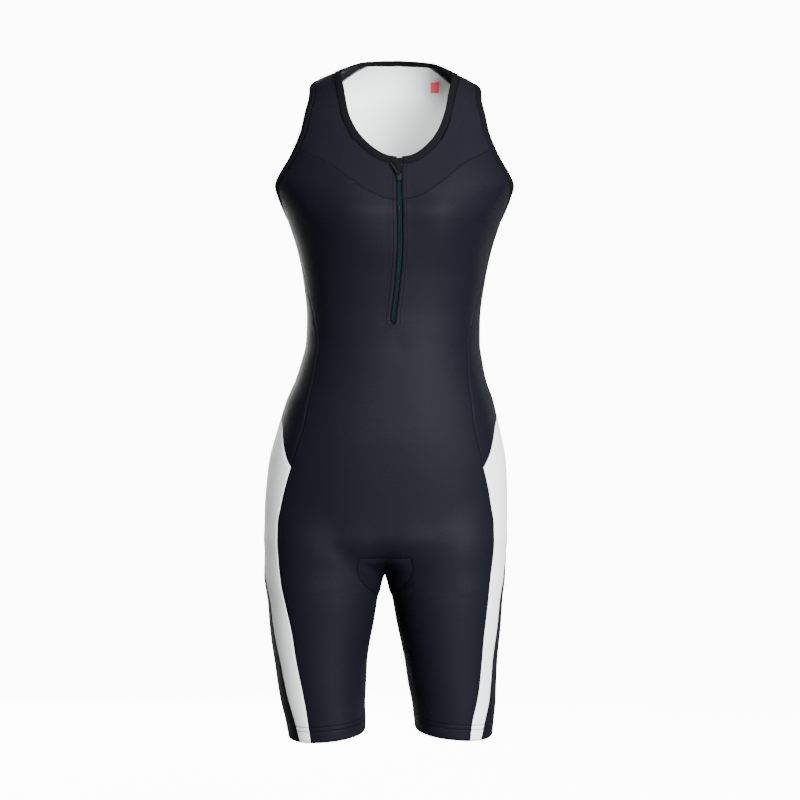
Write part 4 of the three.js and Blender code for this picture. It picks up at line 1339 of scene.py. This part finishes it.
def flatlock(line, lift, half=1.9, outside=True):
    """Two needle rows with the cover thread laid to and fro between them."""
    rows = [sewn(line, 2.1, lift, 0.8, outside, shift=shift) for shift in (-half, half)]
    cover = sewn(line, 1.4, lift - 0.05, 0.7, outside, slant=1.25)
    other = sewn(line, 1.4, lift - 0.05, 0.7, outside, slant=-1.25)
    return [*rows, cover, other]


def thread(name, shapes):
    points, faces = together(shapes)
    return make_object(name, points, faces)


def hem_line(height):
    turn = spread(-90, 270, 260)
    return at(leg_level(1.0, turn) + height, turn)


def mirror_line(line):
    return line * np.array([-1.0, 1.0, 1.0])


hem_shapes = []
for row in HEM_ROWS:
    line = hem_line(row)
    hem_shapes += [sewn(line, 2.6, 0.02), sewn(mirror_line(line), 2.6, 0.02)]

lip_z = spread(-119, SLIT_END - 9, 60)
lip_line = in_front(np.full(len(lip_z), LIP_HALF), lip_z)
bar_line = in_front(spread(-LIP_HALF, LIP_HALF, 12), np.full(13, SLIT_END - 9.0))
zip_shapes = [sewn(lip_line, 2.4), sewn(mirror_line(lip_line), 2.4), sewn(bar_line, 2.2)]
for drop in (4.4, 5.4, 6.4):
    end_line = in_front(spread(-4.2, 4.2, 8), np.full(9, SLIT_END - drop + 1.0))
    zip_shapes.append(sewn(end_line, 1.4, 0.1, 1.2))

yoke_shapes = []
for line in (yoke_bottom, mirror_line(yoke_bottom)):
    yoke_shapes += flatlock(line[6:], 0.0)
back_yoke_shapes = []
for line in (back_seam, mirror_line(back_seam)):
    yoke_shapes += flatlock(line, 0.0)
    back_yoke_shapes += flatlock(line, 0.05, 2.2, outside=False)

binding_shapes = []
for line in (arm_binding[:, 5], mirror_line(arm_binding[:, 5])):
    binding_shapes.append(sewn(line[:-1], 2.4, BINDING_LIFT + 0.25, 0.9, closed=True))
neck_row = np.concatenate([neck_binding[:, 5], mirror_line(neck_binding[::-1, 5])[1:]])
binding_shapes.append(sewn(neck_row, 2.4, BINDING_LIFT + 0.25, 0.9))

gusset_row_line = np.concatenate([gusset_front[:-1], gusset_side, gusset_back[::-1][1:]])
gusset_shapes = [
    sewn(line, 2.5, 0.0, 0.9, shift=shift)
    for line, shift in ((gusset_row_line, -2.0), (mirror_line(gusset_row_line), 2.0))
]

coil_piece = zip_coil()
slider_piece = zip_slider()
pull_piece = zip_pull()
sewing = {
    "hem_stitches": thread("hem_stitches", hem_shapes),
    "zip_stitches": thread("zip_stitches", zip_shapes),
    "yoke_stitches": thread("yoke_stitches", yoke_shapes),
    "inside_yoke_stitches": thread("inside_yoke_stitches", back_yoke_shapes),
    "binding_stitches": thread("binding_stitches", binding_shapes),
    "gusset_stitches": thread("gusset_stitches", gusset_shapes),
}


# Materials
def new_group(name, inputs, outputs):
    group = bpy.data.node_groups.new(name, "ShaderNodeTree")
    for socket, kind, value in inputs:
        made = group.interface.new_socket(name=socket, in_out="INPUT", socket_type=kind)
        if value is not None:
            made.default_value = value
    for socket, kind in outputs:
        group.interface.new_socket(name=socket, in_out="OUTPUT", socket_type=kind)
    return group, group.nodes.new("NodeGroupInput"), group.nodes.new("NodeGroupOutput")


def math(tree, operation, a, b=None, c=None, clamp=False):
    node = tree.nodes.new("ShaderNodeMath")
    node.operation = operation
    node.use_clamp = clamp
    for socket, value in zip(node.inputs, (a, b, c)):
        if isinstance(value, (int, float)):
            socket.default_value = value
        elif value is not None:
            tree.links.new(value, socket)
    return node.outputs[0]


def groove_group():
    """A soft groove at one distance from an edge, as a height in metres."""
    group, entry, leave_ = new_group(
        "Stitched groove",
        [("Distance", "NodeSocketFloat", 0), ("Place", "NodeSocketFloat", 0), ("Width", "NodeSocketFloat", 1),
         ("Depth", "NodeSocketFloat", 0.3)],
        [("Height", "NodeSocketFloat"), ("Mask", "NodeSocketFloat")],
    )
    away = math(group, "SUBTRACT", entry.outputs["Distance"], entry.outputs["Place"])
    share = math(group, "DIVIDE", away, entry.outputs["Width"])
    bell = math(group, "EXPONENT", math(group, "MULTIPLY", math(group, "MULTIPLY", share, share), -1.0))
    sunk = math(group, "MULTIPLY", math(group, "MULTIPLY", bell, entry.outputs["Depth"]), -MM)
    group.links.new(sunk, leave_.inputs["Height"])
    group.links.new(bell, leave_.inputs["Mask"])
    return group


def knit_group():
    """Fine knitted columns and courses along the cloth, as a height in metres, and a painted shade that is
    darker in the knit's low places.
    """
    group, entry, leave_ = new_group(
        "Knit",
        [("Weave", "NodeSocketVector", None), ("Column", "NodeSocketFloat", 0.6),
         ("Course", "NodeSocketFloat", 0.45), ("Height", "NodeSocketFloat", 0.05)],
        [("Height", "NodeSocketFloat"), ("Shade", "NodeSocketFloat")],
    )
    split = group.nodes.new("ShaderNodeSeparateXYZ")
    group.links.new(entry.outputs["Weave"], split.inputs[0])
    turn = 2 * np.pi / MM
    column = math(group, "DIVIDE", math(group, "MULTIPLY", split.outputs["X"], turn), entry.outputs["Column"])
    course = math(group, "DIVIDE", math(group, "MULTIPLY", split.outputs["Y"], turn), entry.outputs["Course"])
    rib = math(group, "COSINE", column)
    half_turn = math(group, "SINE", math(group, "MULTIPLY", column, 0.5))
    lean = math(group, "MULTIPLY", math(group, "ABSOLUTE", half_turn), 2.0)
    loop = math(group, "COSINE", math(group, "ADD", course, lean))
    columns = math(group, "MULTIPLY", rib, 0.6)
    courses = math(group, "MULTIPLY", loop, 0.4)
    both_ways = math(group, "MULTIPLY", math(group, "ADD", columns, courses), 0.5)
    height = math(group, "MULTIPLY", math(group, "MULTIPLY", both_ways, entry.outputs["Height"]), MM)
    group.links.new(height, leave_.inputs["Height"])
    # Painted shade: a colour factor that follows the knit's height, darker where the knit sinks.
    group.links.new(math(group, "ADD", both_ways, 0.5), leave_.inputs["Shade"])
    return group


def pucker_group():
    """Small ripples that stitching draws into the cloth beside a seam."""
    group, entry, leave_ = new_group(
        "Seam pucker",
        [("Distance", "NodeSocketFloat", 0), ("Reach", "NodeSocketFloat", 5),
         ("Depth", "NodeSocketFloat", 0.2)],
        [("Height", "NodeSocketFloat")],
    )
    place = group.nodes.new("ShaderNodeTexCoord")
    noise = group.nodes.new("ShaderNodeTexNoise")
    noise.inputs["Scale"].default_value = 150
    noise.inputs["Detail"].default_value = 1
    group.links.new(place.outputs["Object"], noise.inputs["Vector"])
    share = math(group, "DIVIDE", entry.outputs["Distance"], entry.outputs["Reach"])
    fade = math(group, "EXPONENT", math(group, "MULTIPLY", share, -1.0))
    wave = math(group, "MULTIPLY", math(group, "SUBTRACT", noise.outputs["Fac"], 0.5), fade)
    height = math(group, "MULTIPLY", math(group, "MULTIPLY", wave, entry.outputs["Depth"]), MM)
    group.links.new(height, leave_.inputs["Height"])
    return group


def tone_group():
    """Slow changes of tone over the cloth."""
    group, entry, leave_ = new_group(
        "Tone",
        [("Scale", "NodeSocketFloat", 9), ("Amount", "NodeSocketFloat", 0.1)],
        [("Tone", "NodeSocketFloat")],
    )
    place = group.nodes.new("ShaderNodeTexCoord")
    noise = group.nodes.new("ShaderNodeTexNoise")
    noise.inputs["Detail"].default_value = 3
    group.links.new(entry.outputs["Scale"], noise.inputs["Scale"])
    group.links.new(place.outputs["Object"], noise.inputs["Vector"])
    centred = math(group, "SUBTRACT", noise.outputs["Fac"], 0.5)
    swing = math(group, "MULTIPLY", centred, entry.outputs["Amount"])
    group.links.new(math(group, "ADD", swing, 1.0), leave_.inputs["Tone"])
    return group


GROOVE, KNIT, PUCKER, TONE = groove_group(), knit_group(), pucker_group(), tone_group()


def use(tree, group, **values):
    node = tree.nodes.new("ShaderNodeGroup")
    node.node_tree = group
    for name, value in values.items():
        socket = node.inputs[name]
        if hasattr(value, "links"):
            tree.links.new(value, socket)
        else:
            socket.default_value = value
    return node


def attribute(tree, name):
    node = tree.nodes.new("ShaderNodeAttribute")
    node.attribute_name = name
    return node.outputs["Fac"]


def new_material(name):
    material = bpy.data.materials.new(name)
    material.use_nodes = True
    return material, material.node_tree, material.node_tree.nodes["Principled BSDF"]


def tinted(tree, color, factor):
    """A colour times a value that changes over the surface."""
    node = tree.nodes.new("ShaderNodeVectorMath")
    node.operation = "SCALE"
    node.inputs[0].default_value = color
    tree.links.new(factor, node.inputs["Scale"])
    return node.outputs["Vector"]


def cloth_material(name, color, roughness, knit, specular, sheen=0.0, sheen_rough=0.35, seams=True):
    material, tree, shader = new_material(name)
    weave = tree.nodes.new("ShaderNodeUVMap")
    weave.uv_map = "Weave"
    fine = use(tree, KNIT, Weave=weave.outputs["UV"], Column=knit[0], Course=knit[1], Height=knit[2])
    tone = use(tree, TONE, Scale=9.0, Amount=0.12)
    # The knit's painted shade, darker in its low places, times the random tone.
    knit_painted_shade = math(tree, "ADD", math(tree, "MULTIPLY", fine.outputs["Shade"], 0.1), 0.95)
    shade = math(tree, "MULTIPLY", tone.outputs["Tone"], knit_painted_shade)
    height = fine.outputs["Height"]
    if seams:
        edge = attribute(tree, "edge")
        pucker = use(tree, PUCKER, Distance=edge, Reach=5.0, Depth=0.15)
        seam = use(tree, GROOVE, Distance=edge, Place=0.0, Width=1.0, Depth=0.2)
        lip = use(tree, GROOVE, Distance=attribute(tree, "zip_side"), Place=LIP_HALF, Width=0.8, Depth=0.35)
        low = use(tree, GROOVE, Distance=attribute(tree, "hem"), Place=HEM_ROWS[0], Width=0.9, Depth=0.35)
        high = use(tree, GROOVE, Distance=attribute(tree, "hem"), Place=HEM_ROWS[1], Width=0.9, Depth=0.35)
        for node in (pucker, seam, lip, low, high):
            height = math(tree, "ADD", height, node.outputs["Height"])
        # Painted shade along the hem's two stitched grooves: the colour is darker there.
        hem_painted_shade = math(tree, "MULTIPLY", math(tree, "ADD", low.outputs["Mask"], high.outputs["Mask"]), -0.35)
        shade = math(tree, "MULTIPLY", shade, math(tree, "ADD", hem_painted_shade, 1.0))
        # Painted shade in the groove along each panel's edge: the colour is a little darker there.
        seam_painted_shade = math(tree, "MULTIPLY", seam.outputs["Mask"], -0.1)
        shade = math(tree, "MULTIPLY", shade, math(tree, "ADD", seam_painted_shade, 1.0))
    bump = tree.nodes.new("ShaderNodeBump")
    bump.inputs["Strength"].default_value = 1.0
    bump.inputs["Distance"].default_value = 1.0
    tree.links.new(height, bump.inputs["Height"])
    tree.links.new(bump.outputs["Normal"], shader.inputs["Normal"])
    tree.links.new(tinted(tree, color, shade), shader.inputs["Base Color"])
    rough = math(tree, "MULTIPLY", tone.outputs["Tone"], roughness)
    tree.links.new(rough, shader.inputs["Roughness"])
    shader.inputs["Specular IOR Level"].default_value = specular
    shader.inputs["Sheen Weight"].default_value = sheen
    shader.inputs["Sheen Roughness"].default_value = sheen_rough
    return material


def plain_material(name, color, roughness, specular, grain=0.05):
    material, tree, shader = new_material(name)
    place = tree.nodes.new("ShaderNodeTexCoord")
    noise = tree.nodes.new("ShaderNodeTexNoise")
    noise.inputs["Scale"].default_value = 900
    noise.inputs["Detail"].default_value = 3
    tree.links.new(place.outputs["Object"], noise.inputs["Vector"])
    tone = math(tree, "ADD", math(tree, "MULTIPLY", noise.outputs["Fac"], 0.3), 0.85)
    tree.links.new(tinted(tree, color, tone), shader.inputs["Base Color"])
    tree.links.new(math(tree, "MULTIPLY", tone, roughness), shader.inputs["Roughness"])
    bump = tree.nodes.new("ShaderNodeBump")
    bump.inputs["Distance"].default_value = 1.0
    tree.links.new(math(tree, "MULTIPLY", noise.outputs["Fac"], grain * MM), bump.inputs["Height"])
    tree.links.new(bump.outputs["Normal"], shader.inputs["Normal"])
    shader.inputs["Specular IOR Level"].default_value = specular
    return material


FINE_KNIT = (0.55, 0.42, 0.05)
black_lycra = cloth_material("Black lycra", (0.0042, 0.0042, 0.0072), 0.5, FINE_KNIT, 0.035)
charcoal = cloth_material("Charcoal stretch cloth", (0.0056, 0.0055, 0.0086), 0.6, (0.9, 0.7, 0.09), 0.02)
white_lycra = cloth_material("White lycra", (0.74, 0.755, 0.765), 0.55, FINE_KNIT, 0.4, 0.05, 0.4)
tape_cloth = cloth_material(
    "Matt black tape", (0.0028, 0.0028, 0.0038), 0.85, (0.8, 1.1, 0.12), 0.05, seams=False
)
label_cloth = cloth_material(
    "Red woven label", (0.95, 0.08, 0.11), 0.75, (0.5, 0.5, 0.1), 0.3, 0.1, 0.5, seams=False
)
coil_nylon = plain_material("Teal nylon coil", (0.0016, 0.0095, 0.0135), 0.5, 0.1, 0.03)
slider_metal = plain_material("Dark painted metal", (0.006, 0.0063, 0.0075), 0.6, 0.04, 0.02)
black_thread = plain_material("Black thread", (0.0035, 0.0035, 0.0052), 0.7, 0.05)
charcoal_thread = plain_material("Charcoal thread", (0.0085, 0.0085, 0.012), 0.7, 0.05)
white_thread = plain_material("White thread", (0.62, 0.64, 0.66), 0.7, 0.2)


def dress(piece, material):
    piece.data.materials.clear()
    piece.data.materials.append(material)


FINISHES = {
    "front_body": black_lycra, "side_left": black_lycra, "side_right": black_lycra,
    "hip_panel_left": white_lycra, "hip_panel_right": white_lycra, "back_body": white_lycra,
    "seat_left": black_lycra, "seat_right": black_lycra, "yoke_left": charcoal, "yoke_right": charcoal,
    "gusset": black_lycra, "neck_binding": tape_cloth, "armhole_binding_left": tape_cloth,
    "armhole_binding_right": tape_cloth, "zip_tape_left": tape_cloth, "zip_tape_right": tape_cloth,
    "zip_flap": tape_cloth, "neck_label": label_cloth,
}
for name, material in FINISHES.items():
    dress(panels[name], material)
dress(coil_piece, coil_nylon)
dress(slider_piece, slider_metal)
dress(pull_piece, slider_metal)
THREADS = {
    "hem_stitches": black_thread, "zip_stitches": black_thread, "yoke_stitches": charcoal_thread,
    "inside_yoke_stitches": white_thread, "binding_stitches": black_thread, "gusset_stitches": black_thread,
}
for name, material in THREADS.items():
    dress(sewing[name], material)

# Bodies: the pull on its own, every other piece on the suit
for piece in [*panels.values(), coil_piece, slider_piece, *sewing.values()]:
    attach(piece, "suit")
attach(pull_piece, "pull")


# Stage, lights and camera
def backdrop():
    """A pale floor that turns up into a wall all round."""
    bpy.ops.mesh.primitive_grid_add(x_subdivisions=64, y_subdivisions=40, size=1)
    piece = bpy.context.object
    floor_z, wall, radius, wall_height = -1.12, 8.0, 2.0, 5.0
    flat = wall - radius
    arc = radius * np.pi / 2
    for vertex in piece.data.vertices:
        turn = (vertex.co.x + 0.5) * 2 * np.pi
        run = (vertex.co.y + 0.5) * (flat + arc + wall_height)
        angle = min(max((run - flat) / radius, 0), np.pi / 2)
        out = min(run, flat) + radius * np.sin(angle)
        height = floor_z + radius * (1 - np.cos(angle)) + max(run - flat - arc, 0)
        vertex.co = (out * np.cos(turn), out * np.sin(turn), height)
    piece.data.shade_smooth()
    piece.name = "backdrop"
    material, tree, shader = new_material("Pale backdrop")
    shader.inputs["Base Color"].default_value = (0.92, 0.92, 0.92, 1)
    shader.inputs["Roughness"].default_value = 0.9
    shader.inputs["Emission Color"].default_value = (1, 1, 1, 1)
    shader.inputs["Emission Strength"].default_value = 11
    dress(piece, material)
    piece.visible_diffuse = False
    piece.visible_glossy = False


def soft_light(name, place, aim, size, power):
    lamp = bpy.data.lights.new(name, "AREA")
    lamp.shape = "RECTANGLE"
    lamp.size, lamp.size_y = size
    lamp.energy = power
    light = bpy.data.objects.new(name, lamp)
    light.location = place
    light.rotation_euler = (Vector(aim) - Vector(place)).to_track_quat("-Z", "Y").to_euler()
    light.visible_camera = False
    bpy.context.scene.collection.objects.link(light)


deselect_all()
backdrop()
soft_light("key", (1.6, -3.4, 0.6), (0, 0, -0.38), (2.5, 3.2), 860)
soft_light("left_strip", (-1.35, 1.4, -0.2), (0, 0, -0.35), (0.4, 1.8), 9)
soft_light("right_strip", (1.3, 1.5, -0.3), (0, 0, -0.5), (0.3, 1.4), 6)
soft_light("leg_strip", (0, 1.3, -0.62), (0, 0, -0.75), (0.4, 0.5), 3)
soft_light("top", (0, 0.4, 1.9), (0, 0, -0.3), (1.4, 1.4), 6)
soft_light("back", (-1.2, 3.3, 0.6), (0, 0, -0.4), (2.2, 2.6), 160)

world = bpy.data.worlds.new("Studio")
world.use_nodes = True
world.node_tree.nodes["Background"].inputs["Color"].default_value = (1, 1, 1, 1)
world.node_tree.nodes["Background"].inputs["Strength"].default_value = 0.2
bpy.context.scene.world = world

CAMERA_AWAY = 6.0
FRAME_WIDTH = 1.1072
camera_data = bpy.data.cameras.new("camera")
camera_data.sensor_width = 36
camera_data.lens = 36 * CAMERA_AWAY / FRAME_WIDTH
camera_data.clip_end = 60
camera = bpy.data.objects.new("camera", camera_data)
camera.location = (0.0083, -CAMERA_AWAY, -0.44)
camera.rotation_euler = (np.pi / 2, 0, 0)
bpy.context.scene.collection.objects.link(camera)
bpy.context.scene.camera = camera
